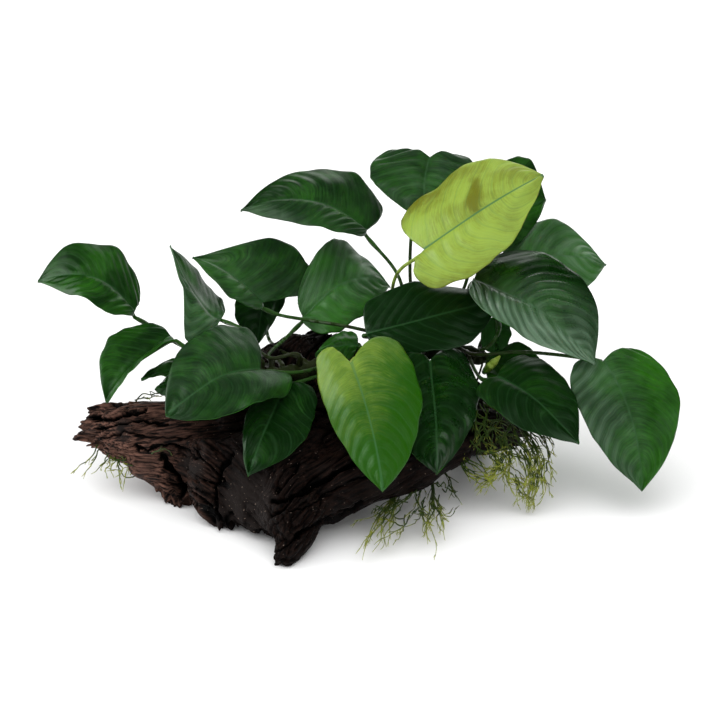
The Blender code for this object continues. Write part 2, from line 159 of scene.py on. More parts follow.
LEAVES = (
    Leaf("far_left", (-113, 24, -9), (-133.5, 41.5, -12), (-161, 39.5, -28),
         ((-129.5, 26, 4), (-145, 32.5, -8)), ((-125, 57.5, -28), (-148.5, 56, -30)),
         (0.0, 0.05), (0.10, 0.62), 1.5, (0.05, -45), ((-60, 0, -14), (-89, 7, -17), (-103, 16, -17)), 0.33),
    Leaf("low_left", (-94, 11, -2), (-113, -2, 4), (-127, -21, 6),
         ((-107.5, 0.5, 16), (-118.5, -11, 13)), ((-123.5, 12, -6), (-130, -3, 0)),
         (0.0, 0.04), (0.62, 0.62), 1.0, (0.0, -50), ((-62, -1, 2), (-86, 5.5, -3)), 0.3, 0.8),
    Leaf("narrow_left", (-69, 21.5, -22), (-80.5, 30, -30), (-95, 57, -44),
         ((-88, 12.5, -12), (-89, 36.5, -30)), ((-76, 36.5, -50), (-84, 48, -52)),
         (0.05, 0.05), (0.62, 0.30), 1.0, (0.16, 5), ((-45, 1, 7), (-58, 15, -10)), 0.26, 0.5,
         bloom=(0.16, -0.1, 0.0)),
    Leaf("upper_left", (-49, 28.5, -38), (-62, 41.5, -38), (-83.5, 51.5, -46),
         ((-63, 31.5, -24), (-73.5, 39.5, -34)), ((-30.5, 51, -58), (-47, 61.5, -60)),
         (0.05, 0.16), (0.30, 1.05), 1.5, (0.58, -45),
         ((10, 13, -20), (-7.5, 17, -16), (-26, 20, -22), (-42, 23, -34)), 0.27, 0.9,
         bloom=(0.09, 0.0, 0.0)),
    Leaf("behind_left", (-44, 41, -66), (-49, 24, -60), (-51.5, 7, -54),
         ((-38, 28, -66), (-45, 16, -60)), ((-63, 27, -58), (-60, 16, -54)),
         (0.05, 0.05), (0.62, 0.62), 1.5, (0.22, -85), ((-40, 5, -32), (-47, 20, -72)), 0.2, 0.7),
    Leaf("mid_left", (-28.5, 21.5, -36), (-5, 40, -36), (15, 36.5, -50),
         ((-12.5, 60.5, -58), (0, 52.5, -58)), ((-8, 15.5, -22), (6.5, 26.5, -30)),
         (0.03, 0.0), (0.45, 0.12), 2.0, (0.10, -75), ((-46, 1, -12), (-36, 12, -32)), 0.5, 1.0,
         bloom=(0.16, -0.1, 0.1)),
    Leaf("front_left", (-50, -4, 18), (-73, -10, 28), (-97, -27.5, 32),
         ((-58.5, -24, 42), (-74, -31, 41)), ((-72.5, 16.5, 2), (-92, 2, 10)),
         (0.28, 0.05), (0.50, 0.50), 2.0, (0.46, 60), ((-12, -1, 3), (-30, -6, 12)), 0.17, 0.8,
         blunt=0.25, bloom=(0.05, 0.03, 0.0)),
    Leaf("small_left", (-84, -1, -8), (-96, -4.5, -4), (-109.5, -9, -2),
         ((-92, -7, -1), (-101, -8.5, -2)), ((-92, 1, -13), (-101, -3, -10)),
         (0.0, 0.0), (0.62, 0.62), 0.6, (0.05, -80), ((-66, -6, -10),), 0.3, 0.5),
    Leaf("tiny_left", (-87, -6, 5), (-95, -10.5, 8), (-102.5, -14.5, 9),
         ((-95, -18, 5), (-100, -17, 7)), ((-94.5, -6, 2), (-99, -11, 5)),
         (0.0, 0.0), (0.62, 0.62), 0.4, (0.0, 0), ((-66, -9, 4),), 0.3, 0.5),
    Leaf("front_low", (-37, -12.5, 14), (-47, -34, 31), (-56, -57.5, 42),
         ((-24, -30.5, 30), (-33, -46, 38)), ((-57, -27, 24), (-58.5, -44, 35)),
         (0.03, 0.03), (0.45, 0.45), 1.5, (0.36, 85), ((-24, -9, 10),), 0.02, 0.8, blunt=0.12),
    Leaf("inner", (-1, 7.5, 5), (-11, 7, 9), (-22, 3, 13),
         ((-12.5, -1, 15), (-18, 0, 14)), ((-9, 14.5, 1), (-18, 8.5, 7)),
         (0.0, 0.0), (0.62, 0.62), 0.6, (0.42, 25), ((0, 5, 0),), 0.35, 0.6),
    Leaf("front_lime", (-4.5, -1, 26), (5.5, -32, 46), (11.5, -65.5, 56),
         ((32.5, -20, 30), (27, -45, 42)), ((-17.5, -24, 34), (-7, -46, 44)),
         (0.15, 0.10), (0.88, 0.58), 2.5, (0.52, 80), ((0, 2, 12),), 0.10, 0.7, "lime", (0.2, -0.8), 0.18),
    Leaf("front_right", (35, 0, 6), (38, -30, 25), (38.5, -57, 31),
         ((60, -21, 8), (51.5, -42, 18)), ((16, -22.5, 24), (23.5, -44, 28)),
         (0.08, 0.05), (0.62, 0.62), 1.5, (0.70, 70), ((30, 3, -4),), 0.0, 1.0, "wet"),
    Leaf("centre", (3, 13.5, -8), (36, 22, -2), (71.5, 30.5, -10),
         ((28, 39, -16), (52, 35.5, -14)), ((34, 5, 4), (56, 9.5, -2)),
         (0.02, 0.0), (0.68, 0.40), 1.5, (0.50, -15), ((2, 12, -12),), -0.2, 0.6),
    Leaf("high_left", (3, 64.5, -42), (-24.5, 80.5, -40), (-59.5, 75, -54),
         ((-19, 66.5, -26), (-39.5, 71, -38)), ((-9, 95.5, -60), (-41, 91, -62)),
         (0.0, 0.06), (0.20, 0.80), 1.5, (0.64, -30), ((20, 40, -32),), 0.2, 1.0, bloom=(0.04, -0.03, 0.0)),
    Leaf("top", (35, 101.5, -66), (32, 85, -50), (34, 67, -32),
         ((57, 91, -54), (50, 80, -42)), ((4.5, 94, -52), (12.5, 82.5, -44)),
         (0.0, 0.03), (0.50, 0.62), 2.5, (0.70, -35), ((25, 44, -34), (28, 80, -52)), 0.28, 1.3,
         bloom=(0.10, 0.0, 0.0)),
    Leaf("top_lime", (32, 55.5, 2), (63.5, 77, 8), (91.5, 92.5, 0),
         ((44, 91, -20), (65.5, 101, -18)), ((69.5, 51, 24), (83, 69, 16)),
         (0.05, 0.13), (0.75, 0.55), 2.5, (0.62, 0), ((16, 30, -32), (18, 42, -24)), 0.76, 0.7,
         "pale", (0.10, -0.20), 0.1, (0.42, -0.30, 0.075)),
    Leaf("behind_top", (59, 66, -32), (76.5, 74, -34), (93, 80, -46),
         ((74, 100.5, -52), (86, 99.5, -54)), ((77.5, 57.5, -24), (88, 68, -36)),
         (0.05, 0.05), (0.62, 0.62), 1.5, (0.78, -50), ((52, 36, -40),), 0.3, 0.6),
    Leaf("back_right", (74, 49, -22), (100, 53, -20), (123, 47.5, -32),
         ((94, 70, -40), (110, 62.5, -38)), ((96, 33, -8), (114, 36, -18)),
         (0.05, 0.05), (0.62, 0.62), 1.5, (0.86, -40), ((66, 30, -34),), 0.55, 1.3, bloom=(0.27, 0.0, 0.1)),
    Leaf("wet_right", (57, 40, -2), (88, 26, 14), (117.5, -2, 8),
         ((100.5, 49, -8), (119, 27, -4)), ((73, 18, 22), (93.5, 7, 18)),
         (0.05, 0.0), (0.55, 0.30), 2.0, (0.80, 0), ((50, 18, -26), (53, 32, -24)), 0.2, 1.3, "wet",
         bloom=(0.40, 0.50, 0.75)),
    Leaf("small_right", (67.5, 21.5, -16), (68, 12, -14), (67, 3, -13),
         ((60.5, 12, -13), (62, 6, -12)), ((75.5, 14, -17), (73, 7, -15)),
         (0.0, 0.0), (0.62, 0.62), 0.6, (0.97, -10), ((60, 5, -11), (64.5, 7, -7), (69.5, 15, -7)), 0.4, 0.5),
    Leaf("under_right", (64, -2.5, -14), (79, -2, -11), (94, -6, -8),
         ((79, 8.5, -16), (87, 4, -12)), ((77.5, -12.5, -4), (86, -10, -4)),
         (0.05, 0.05), (0.62, 0.62), 0.8, (1.0, 70), (), 0.4, 0.6),
    Leaf("low_right", (68.5, -8, 8), (86.5, -19, 18), (109.5, -42, 20),
         ((95.5, -2, 2), (108, -18.5, 10)), ((72.5, -28, 24), (89, -38, 22)),
         (0.05, 0.14), (0.62, 0.74), 1.5, (0.90, 60), ((58, -6, -6), (62, -10, 1)), 0.06, 1.0),
    Leaf("far_right", (121.5, -0.5, 0), (136, -30, 12), (141, -65.5, 15),
         ((160, -18.5, 4), (156, -43.5, 10)), ((108, -22, 8), (122, -46.5, 12)),
         (0.08, 0.02), (0.70, 0.35), 2.0, (0.84, 45), ((56, 3, -6), (80, 4, -5), (104, 2, -6)), 0.42, 1.2,
         fade=(-0.2, 0.0), blunt=0.1, bloom=(0.13, 0.30, -0.15)),
)

RHIZOME_SPOTS = (
    (-49, -9, 8), (-30, -6, 3), (-7.5, 0, -8), (20, 4, -18), (45, 4, -24), (63.5, 1, -26),
)

YOUNG_LEAF = Limb(((62, -6, -9), (64, -4, -5), (67, -1, -3), (70, 2, -2)), (3, 4.5, 4, 1))

LIMBS = (
    Limb(((-70, -30, -5), (-40, -27, -10), (0, -24, -15), (35, -22, -20), (60, -26, -18)),
         (34, 40, 42, 38, 30)),
    Limb(((-60, -33, -8), (-92, -37, -10), (-112, -37.5, -12), (-127, -35.5, -14), (-133, -36, -14)),
         (34, 38, 33, 24, 14), 3.5),
    Limb(((-85, -44, -8), (-86, -58, -5), (-89, -71.5, -3)), (28, 20, 10), 3.0),
    Limb(((-68, -45, 6), (-71, -67, 14), (-67, -84, 22)), (34, 26, 10), 3.0),
    Limb(((-55, -45, 8), (-54, -66, 22), (-49, -80, 31)), (36, 28, 16), 2.0),
    Limb(((-30, -40, 6), (-33, -63, 27), (-34, -80, 42), (-35, -94, 50), (-41, -102, 55)),
         (38, 36, 30, 18, 11), 2.0),
    Limb(((-33, -70, 30), (-12, -62, 26), (6, -57, 22), (30, -50, 13), (50, -41, 2)), (30, 34, 29, 24, 21)),
    Limb(((-20, -46, 8), (12, -40, 4), (42, -34, -4)), (34, 34, 26)),
    Limb(((50, -34, -6), (65, -35, -8), (79, -39, -12)), (26, 24, 12), 4.0),
    Limb(((-40, -18, -35), (-30, -2, -47), (-18, 8, -56)), (32, 28, 18), 4.0),
    Limb(((-25, -20, -42), (-22, -27, -70), (-20, -34, -92)), (32, 24, 15), 3.0),
    Limb(((54, -30, -22), (56, -38, -50), (58, -43, -72)), (26, 20, 13), 3.0),
)

# Limbs that close the hollows between the legs and at the ends, and the courses that the grain follows.
FILLERS = (
    Limb(((-118, -28, -14), (-131, -27.5, -15), (-137.5, -29, -16)), (16, 12, 8)),
    Limb(((-122, -37, -12), (-136, -38, -12), (-141, -41, -12)), (14, 9, 6)),
    Limb(((-112, -50, -6), (-100, -57, -4), (-89, -71, -3)), (16, 15, 10)),
    Limb(((-74, -56, 10), (-52, -62, 22), (-32, -72, 36)), (22, 28, 24)),
    Limb(((-52, -78, 28), (-42, -80, 36), (-34, -88, 46)), (12, 16, 14)),
    Limb(((-86, -56, -4), (-74, -60, 4), (-62, -66, 16)), (14, 18, 18)),
    Limb(((46, -26, -14), (59, -23, -14), (67, -26, -12)), (24, 20, 9)),
    Limb(((-54, -12, -20), (-43, -2, -33), (-31, 4, -44)), (18, 20, 20)),
)
GRAINS = (
    Limb(((-160, -34, -14), (-112, -36, -12), (-60, -30, -8), (0, -20, -14), (60, -24, -18), (90, -40, -14)),
         (16, 34, 36, 38, 30, 16)),
    Limb(((-44, -110, 60), (-24, -80, 40), (10, -58, 24), (40, -42, 6), (70, -32, -6)), (20, 40, 40, 30, 20)),
    Limb(((-120, -50, -6), (-92, -54, 0), (-74, -64, 12), (-56, -80, 28), (-44, -96, 46)),
         (16, 22, 26, 22, 14)),
    Limb(((-40, -18, -35), (-30, -2, -47), (-18, 8, -56)), (32, 28, 18)),
    Limb(((-25, -20, -42), (-22, -27, -70), (-20, -34, -92)), (32, 24, 15)),
    Limb(((54, -30, -22), (56, -38, -50), (58, -43, -72)), (26, 20, 13)),
)

# Long slits in the wood's front, as courses on the sketch with their width and depth, and its smooth worn
# patches, as a spot of the sketch with a radius. The slits are also darkened with painted shade, and the
# patches' grey is partly painted sheen.
SLITS = (
    (((-141, -29.5), (-134, -30.5), (-126, -31.5), (-117, -29), (-107, -26)), 2.2, 4.5),
    (((-130, -36), (-118, -34), (-106, -31), (-96, -32)), 1.4, 2.5),
    (((-132, -41), (-116, -38), (-98, -39), (-84, -38)), 1.2, 1.6),
    (((-112, -44.5), (-100, -43), (-88, -44), (-78, -48)), 1.6, 2.5),
    (((-100, -48), (-97, -53), (-92, -60), (-88, -67)), 2.6, 4.5),
    (((2, -47), (-10, -56), (-24, -64), (-38, -69), (-46, -70)), 2.8, 4.0),
    (((0, -71), (-11, -77.5), (-22, -81.5), (-33, -88)), 2.2, 3.5),
    (((10, -52), (-6, -62), (-22, -71), (-34, -76)), 1.1, 1.8),
    (((-66, -48), (-70, -54), (-72, -64), (-70, -74)), 2.0, 3.0),
    (((20, -44), (34, -40), (52, -36), (66, -34)), 1.4, 2.0),
)
PATCHES = ((-83.5, -52, 7), (-56, -69, 12), (-53, -80, 7), (-118, -39, 5))

# Where each main fork is parted from the body, as a range of X and one of Y in millimetres, and the planes
# across X and across Y that the wood is cut on.
FORKS = {
    "driftwood_left_limb": ((-180, -77), (-130, 120)),
    "driftwood_right_limb": ((46, 130), (-130, 120)),
    "driftwood_front_foot": ((-55, 46), (-130, -54)),
    "driftwood_rear_limb": ((-77, 46), (29, 120)),
}
WOOD_NODES = ("driftwood_body", *FORKS)
CUTS_ACROSS = (-77.0, -55.0, 46.0)
CUTS_DEEP = (-54.0, 29.0)

TUFTS = {
    "moss_left": (
        Limb(((-106, -56, -2), (-116, -56, -3), (-127, -53, -3), (-142, -56, -3)), (14, 14, 12, 4)),
        Limb(((-116, -58, -3), (-117, -66.5, -3)), (10, 4)),
    ),
    "moss_top": (Limb(((-113, -19, -8), (-104, -16, -6), (-97, -19, -8)), (5, 8, 5)),),
    "moss_front": (
        Limb(((34, -63, 12), (22, -76, 34), (2, -98, 56)), (22, 26, 7)),
        Limb(((34, -63, 12), (34, -80, 38), (38, -97, 54)), (22, 22, 7)),
        Limb(((22, -76, 34), (0, -82, 46)), (18, 7)),
        Limb(((34, -63, 12), (51, -71, 26)), (22, 8)),
    ),
    "moss_right": (
        Limb(((67, -25, 4), (76, -35, 5), (84, -54, 8), (86, -73, 10)), (12, 22, 20, 6)),
        Limb(((67, -27, 4), (65, -43, 8), (70, -64, 13)), (12, 18, 9)),
        Limb(((76, -35, 5), (93, -44, 8)), (20, 8)),
    ),
}

STRANDS = {
    "moss_left": (
        ((-131, -42, -8), (-135, -50, -6), (-140, -53, -4), (-144.5, -57, -3)),
        ((-130, -44, -8), (-134, -52, -5), (-139, -58, -3)),
        ((-124, -46, -6), (-125.5, -52, -5), (-127, -55, -4), (-126, -59, -3)),
        ((-119, -46, -6), (-120, -52, -5), (-118.5, -55, -4), (-122, -59, -3)),
        ((-112, -44, -4), (-116, -55, -4), (-118, -62.5, -3)),
        ((-121, -50, -5), (-120.5, -58, -4), (-119, -65, -3)),
        ((-126, -47, -6), (-130, -55.5, -5)),
        ((-117, -45, -6), (-116, -50, -5), (-113, -54, -4), (-115, -58, -3)),
        ((-123, -45, -6), (-122, -50, -5), (-125, -54, -4), (-124, -58, -3)),
        ((-113, -45, -5), (-114, -51, -4), (-120, -56, -4)),
        ((-104, -47, 9), (-100, -45, 10), (-96, -45, 10), (-94, -48, 10)),
    ),
    "moss_top": (
        ((-112, -21, -8), (-109, -17.5, -7), (-104, -17, -6), (-100, -16.5, -6), (-97, -19, -8)),
        ((-113, -20, -10), (-106, -19, -9), (-99, -18, -9)),
    ),
    "moss_front": (
        ((24, -58, 14), (21, -66, 18), (15, -71.5, 26), (9, -78.5, 35), (6, -85, 43), (2.5, -94, 52),
         (1.5, -100, 57)),
        ((24, -62, 16), (12, -74, 30), (4, -79, 36), (-3, -80.5, 40)),
        ((37, -58, 10), (36.5, -67, 18), (35, -76, 30), (34, -80, 36), (36.5, -87, 44), (38.5, -94, 52),
         (37, -100, 57)),
        ((42, -54, 8), (45, -61, 13), (48, -68, 22), (51, -72.5, 26)),
        ((36, -70, 24), (41, -77.5, 34), (46, -77.5, 36), (48, -73.5, 34)),
        ((32, -60, 12), (29, -70, 22), (24, -79, 34)),
        ((36, -64, 16), (40, -77, 32), (42.5, -90, 46)),
        ((21, -64, 18), (17, -75, 30), (15, -82.5, 38), (14, -90, 46)),
        ((35, -58, 11), (20, -72, 26), (6, -82, 38)),
        ((36, -60, 12), (37, -74, 28), (33, -84, 40), (34, -92, 48)),
        ((20, -66, 20), (11, -80, 36), (10, -90, 47), (6, -96, 53)),
    ),
    "moss_right": (
        ((60, -22, 6), (62.5, -29, 12), (59, -36, 12), (55, -43, 12), (51, -47, 12)),
        ((52, -47, 10), (57, -51, 12), (65, -54, 14), (72, -51, 14), (77, -45, 14)),
        ((51, -51, 10), (54, -56, 11), (60, -59, 13), (67, -60, 13), (71, -55, 13)),
        ((77, -35, 12), (81, -42, 12), (85, -50, 12), (86.5, -60, 11), (84.5, -67, 10), (84, -75, 10)),
        ((80, -32, 10), (87, -42, 11), (90, -52, 10), (89, -62, 10), (86.5, -70, 10), (87, -75, 10)),
        ((85, -34, 8), (92, -40, 8), (94, -46, 8), (95, -55, 8), (96, -60, 8)),
        ((70, -40, 12), (75, -50, 12), (74, -60, 12), (77, -67, 12), (81, -68, 12)),
        ((65, -45, 12), (69, -52, 13), (64, -60, 13), (59, -65, 13)),
        ((72, -47, 12), (67, -57, 13), (60, -63, 13), (59, -65, 13)),
        ((80, -45, 12), (84, -55, 12), (81, -65, 12), (82.5, -72, 11)),
        ((55, -40, 12), (60, -45, 14), (67, -46, 14), (75, -42, 13)),
        ((62, -22, 8), (70, -26, 12), (75, -32, 12), (80, -36, 11)),
        ((90, -36, 8), (94, -38, 8), (96, -43, 8)),
        ((59, -25, 10), (58, -32, 12), (62, -40, 13), (69, -44, 13)),
        ((83, -38, 11), (88, -50, 11), (85, -58, 11), (88, -66, 11)),
        ((56, -30, 10), (66, -34, 14), (74, -37, 13), (83, -36, 11)),
        ((66, -20, 8), (70, -28, 12), (68, -36, 13), (74, -42, 13)),
        ((58, -26, 10), (64, -30, 13), (70, -30, 13), (77, -34, 12)),
        ((72, -27, 10), (68, -33, 13), (62, -37, 13), (58, -44, 13)),
        ((64, -24, 9), (62, -34, 13), (66, -42, 14), (63, -48, 13)),
        ((76, -32, 11), (72, -40, 13), (76, -48, 13), (72, -56, 12)),
        ((78, -58, 12), (82, -66, 11), (86, -70, 10), (87, -74, 10)),
        ((88, -56, 10), (86, -64, 10), (80, -70, 10), (77, -71, 10)),
        ((92, -50, 9), (91, -58, 9), (93, -64, 9), (91, -69, 9)),
        ((68, -50, 13), (73, -58, 13), (78, -60, 12), (84, -63, 11)),
        ((74, -46, 13), (82, -50, 12), (90, -49, 9), (95, -51, 8)),
    ),
}


def place(across, up, toward):
    """The point at a spot of the sketch, in metres in the part's frame."""
    shrink = 1.0 - toward / EYE_DISTANCE
    spot = SKETCH_CENTRE + Vector((across * shrink, 0.0, 0.0)) + Vector(RISE) * (up * shrink)
    return (spot + Vector(SIGHT) * toward) * MM


def sketch_spots(coords):
    """Where points in metres, an array of rows, lie on the sketch, and how far toward the eye."""
    away = coords / MM - np.array(SKETCH_CENTRE)
    toward = away @ np.array(SIGHT)
    up = away @ np.array(RISE)
    shrink = 1.0 - toward / EYE_DISTANCE
    return np.stack((away[:, 0] / shrink, up / shrink), 1), toward


def quadratic(start, control, end, share):
    """A point of the curve that leaves start for control and arrives at end."""
    rest = 1.0 - share
    return start * (rest * rest) + control * (2.0 * rest * share) + end * (share * share)


def smoothstep(low, high, value):
    """How far a value has passed from low to high, eased at both ends."""
    t = min(max((value - low) / (high - low), 0.0), 1.0)
    return t * t * (3.0 - 2.0 * t)


def breadth(share, shoulder, blunt=0.0):
    """A blade's half width as a share of its widest: a heart-shaped base and a drawn-out or blunt tip."""
    if share < WIDEST_SHARE:
        back = (WIDEST_SHARE - share) / WIDEST_SHARE
        roundness = 1.0 - min(shoulder, 0.5)
        return shoulder + (1.0 - shoulder) * max(0.0, 1.0 - back * back) ** roundness
    ahead = (share - WIDEST_SHARE) / (1.0 - WIDEST_SHARE)
    return (1.0 - ahead**TIP_POWER) ** (1.0 - blunt) * (1.0 - (TIP_PINCH - blunt) * ahead**10)


class Blade:
    """A leaf's surface: its midrib, the two halves that spread from it, and the relief of its veins."""

    def __init__(self, leaf):
        self.leaf = leaf
        self.base, self.tip = place(*leaf.base), place(*leaf.tip)
        self.control = place(*leaf.middle) * 2.0 - (self.base + self.tip) / 2.0
        taper = breadth(CHEEK_SHARE, 0.0, leaf.blunt)
        self.halves = [
            (place(*wide) - self.rib(WIDEST_SHARE), (place(*cheek) - self.rib(CHEEK_SHARE)) / taper)
            for wide, cheek in (leaf.left, leaf.right)
        ]
        across = self.halves[1][0] - self.halves[0][0]
        self.face = across.cross(self.tangent(WIDEST_SHARE)).normalized()
        self.length = sum((self.rib(k / 12) - self.rib((k + 1) / 12)).length for k in range(12))
        self.seed = 3.7 * sum(ord(letter) for letter in leaf.name)

    def rib(self, share):
        if share < 0.0:
            return self.base + (self.control - self.base) * (2.0 * share)
        return quadratic(self.base, self.control, self.tip, share)

    def tangent(self, share):
        return ((self.control - self.base) * (1.0 - share) + (self.tip - self.control) * share).normalized()

    def point(self, share, side):
        """The point at a share of the length, side running from -1 at the left edge to 1 at the right one."""
        half = 0 if side < 0.0 else 1
        reach = -self.leaf.lobes[half] * math.sin(math.pi * LOBE_TURN * abs(side))
        along = reach + (1.0 - reach) * share
        wide, cheek = self.halves[half]
        mix = min(max((share - WIDEST_SHARE) / (CHEEK_SHARE - WIDEST_SHARE), 0.0), 1.0)
        uneven = 1.0 + EDGE_STRAY * noise.noise(Vector((share * 8.0, self.seed + 6.0, 4.0 * half)))
        reach_out = abs(side) * uneven * breadth(share, self.leaf.shoulders[half], self.leaf.blunt)
        spread = wide.lerp(cheek, mix) * reach_out
        rise = self.face * (self.leaf.cup * MM * math.sin(math.pi * abs(side)) * (1.0 - share))
        return self.rib(along) + spread + rise

    def half_width(self, share, side):
        """How far the edge on this side is from the midrib."""
        return self.halves[0 if side < 0.0 else 1][0].length * breadth(share, 0.3)

    def veins_passed(self, share, side, spacing):
        """How many lateral veins leave the midrib before the one that runs through this point."""
        lean = VEIN_LEAN * abs(side) ** VEIN_BEND
        stray = 0.8 * noise.noise(Vector((self.seed, share * 3.0, side * 0.8)))
        stray += 0.12 * noise.noise(Vector((self.seed + 4.0, share * 9.0, side * 3.0)))
        return (share - lean) * self.length / spacing + stray + (0.5 if side < 0.0 else 0.0)

    def relief(self, share, side, look):
        """How far the surface stands proud: ripples between the veins, a sunken midrib and a waved margin."""
        away = abs(side)
        stretch = noise.noise(Vector((self.seed + 9.0, share * 2.5, side * 1.5)))
        passed = self.veins_passed(share, side, look.vein_spacing)
        swell = math.sin(math.pi * passed) ** 2 - 0.5
        room = smoothstep(0.03, 0.25, away) * (1.0 - 0.75 * away**5) * (1.0 - 0.6 * share**3)
        ripple = look.ripple * self.leaf.ripple * max(0.25, 0.8 + 1.9 * stretch) * swell * room
        distance = away * self.half_width(share, side)
        groove = -look.midrib_depth * math.exp(-((distance / look.midrib_width) ** 2)) * (1.0 - 0.6 * share)
        wave = 1.8 * noise.noise(Vector((share * 5.5, self.seed, 3.0 if side > 0.0 else 8.0)))
        margin = look.margin_wave * away**3 * wave * smoothstep(0.0, 0.15, share) * (1.0 - share**4)
        lie = look.unevenness * noise.noise(Vector((share * 2.3, side * 1.7, self.seed)))
        return ripple + groove + margin + lie

    def tone(self, share, side):
        """How bright the blade's green is here."""
        made = self.leaf.tone + self.leaf.fade[0] * side + self.leaf.fade[1] * (share - 0.5)
        if self.leaf.colour == "pale":
            made -= 0.5 * smoothstep(0.55, 1.0, abs(side)) * smoothstep(0.55, 0.1, share)
        if self.leaf.stain:
            at_share, at_side, size = self.leaf.stain
            from_vein = share - VEIN_LEAN * abs(side) ** VEIN_BEND - at_share
            away = math.hypot(from_vein, (side - at_side) * 0.22) / size
            made -= 0.65 * (1.0 - smoothstep(0.45, 1.1, away))
        return made

    def bloom(self, share, side, spacing):
        """How much sheen is painted here, as a share of grey-green colour: more on the swellings between the
        veins.
        """
        amount, to_right, to_tip = self.leaf.bloom
        swell = math.sin(math.pi * self.veins_passed(share, side, spacing)) ** 2
        cloud = 1.0 + 0.8 * noise.noise(Vector((share * 4.0, side * 2.5, self.seed + 2.0)))
        return max(0.0, amount + to_right * side + to_tip * (share - 0.5)) * (0.5 + 0.8 * swell) * cloud

    def surface(self, share, side, look):
        return self.point(share, side) + self.face * self.relief(share, side, look)


def path_length(points):
    return sum((b - a).length for a, b in zip(points, points[1:]))


def heading(points, k):
    """The direction in which the smooth curve passes a point."""
    steps = [(b - a).normalized() for a, b in zip(points, points[1:])]
    return (steps[max(k - 1, 0)] + steps[min(k, len(steps) - 1)]).normalized()


def span_at(points, share):
    """The number of the span that a share of the whole length falls in, its own share, and its length."""
    lengths = [(b - a).length for a, b in zip(points, points[1:])]
    walk, k = share * sum(lengths), 0
    while k < len(lengths) - 1 and walk > lengths[k]:
        walk -= lengths[k]
        k += 1
    return k, min(walk / lengths[k], 1.0), lengths[k]


def along_spline(points, share):
    """A point of the smooth curve that passes through the points in turn, at a share of its length."""
    k, t, length = span_at(points, share)
    return (
        points[k] * (2.0 * t**3 - 3.0 * t**2 + 1.0)
        + heading(points, k) * (length * (t**3 - 2.0 * t**2 + t))
        + points[k + 1] * (3.0 * t**2 - 2.0 * t**3)
        + heading(points, k + 1) * (length * (t**3 - t**2))
    )


def between(points, values, share):
    """A value between those given at the points, at a share of the way along them."""
    k, t, _ = span_at(points, share)
    return values[k] * (1.0 - t) + values[k + 1] * t


RHIZOME_WAY = tuple(place(*spot) for spot in RHIZOME_SPOTS)


def foot_of(share, turn):
    """A spot on the rhizome and the direction out of it there. A turn of 0 is up and 90 is to the front."""
    behind = along_spline(RHIZOME_WAY, max(share - FOOT_SPAN, 0.0))
    ahead = along_spline(RHIZOME_WAY, min(share + FOOT_SPAN, 1.0)) - behind
    front = ahead.cross(Vector((0.0, 0.0, 1.0))).normalized()
    top = front.cross(ahead).normalized()
    out = top * math.cos(math.radians(turn)) + front * math.sin(math.radians(turn))
    return along_spline(RHIZOME_WAY, share) + out * (RHIZOME_RADIUS + STALK_RADIUS - STALK_SINK), out


def stalk_way(blade):
    """The points that a stalk passes, from inside the rhizome to just behind the foot of its blade."""
    foot, out = foot_of(*blade.leaf.foot)
    end = blade.base - blade.face * (STALK_RADIUS + BLADE_CLEARANCE) - blade.tangent(0.0) * BLADE_SETBACK
    spots = [place(*spot) for spot in blade.leaf.way]
    return [foot - out * 3.0 * MM, foot, foot + out * STALK_RISE, *spots, end]


def frames_along(points):
    """A frame at each point with Z along the path and no twist between one and the next."""
    frames, side = [], heading(points, 0).orthogonal().normalized()
    for k, point in enumerate(points):
        way = heading(points, k)
        side = (side - way * side.dot(way)).normalized()
        turn = Matrix((side, way.cross(side), way)).transposed().to_4x4()
        frames.append(Matrix.Translation(point) @ turn)
    return frames


def sweep(work, points, radii, sides):
    """Draws a round section along the points, closed at both ends, and gives back its rings."""
    poses = [
        pose @ Matrix.Diagonal((radius, radius, radius, 1.0))
        for pose, radius in zip(frames_along(points), radii, strict=True)
    ]
    ring = bmesh.ops.create_circle(work, cap_ends=True, segments=sides, radius=1.0, matrix=poses[0])["verts"]
    cap = ring[0].link_faces[0]
    rings = [ring]
    for before, after in zip(poses, poses[1:]):
        grown = bmesh.ops.extrude_face_region(work, geom=[cap])["geom"]
        ring = [part for part in grown if isinstance(part, bmesh.types.BMVert)]
        cap = next(part for part in grown if isinstance(part, bmesh.types.BMFace))
        bmesh.ops.transform(work, matrix=after @ before.inverted(), verts=ring)
        rings.append(ring)
    return rings


def mesh_from(name, work):
    """Turns the work into a mesh, and ends it."""
    mesh = bpy.data.meshes.new(name)
    work.to_mesh(mesh)
    work.free()
    return mesh


def add_strand(work, strand):
    """Adds a finished strand to the work."""
    mesh = mesh_from("strand", strand)
    work.from_mesh(mesh)
    bpy.data.meshes.remove(mesh)


def in_scene(name, content):
    """A new object of the scene that holds a mesh, a lamp or a camera."""
    made = bpy.data.objects.new(name, content)
    bpy.context.scene.collection.objects.link(made)
    return made


def new_piece(name, work, surfaces, nodes=()):
    """Turns the work into a piece that stands for nodes of the frame and rides on it."""
    mesh = mesh_from(name, work)
    mesh.shade_smooth()
    piece = in_scene(name, mesh)
    for surface in surfaces:
        mesh.materials.append(surface)
    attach(piece, "root")
    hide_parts(*nodes)
    return piece


def darker(colour, share):
    return tuple(part * share for part in colour)


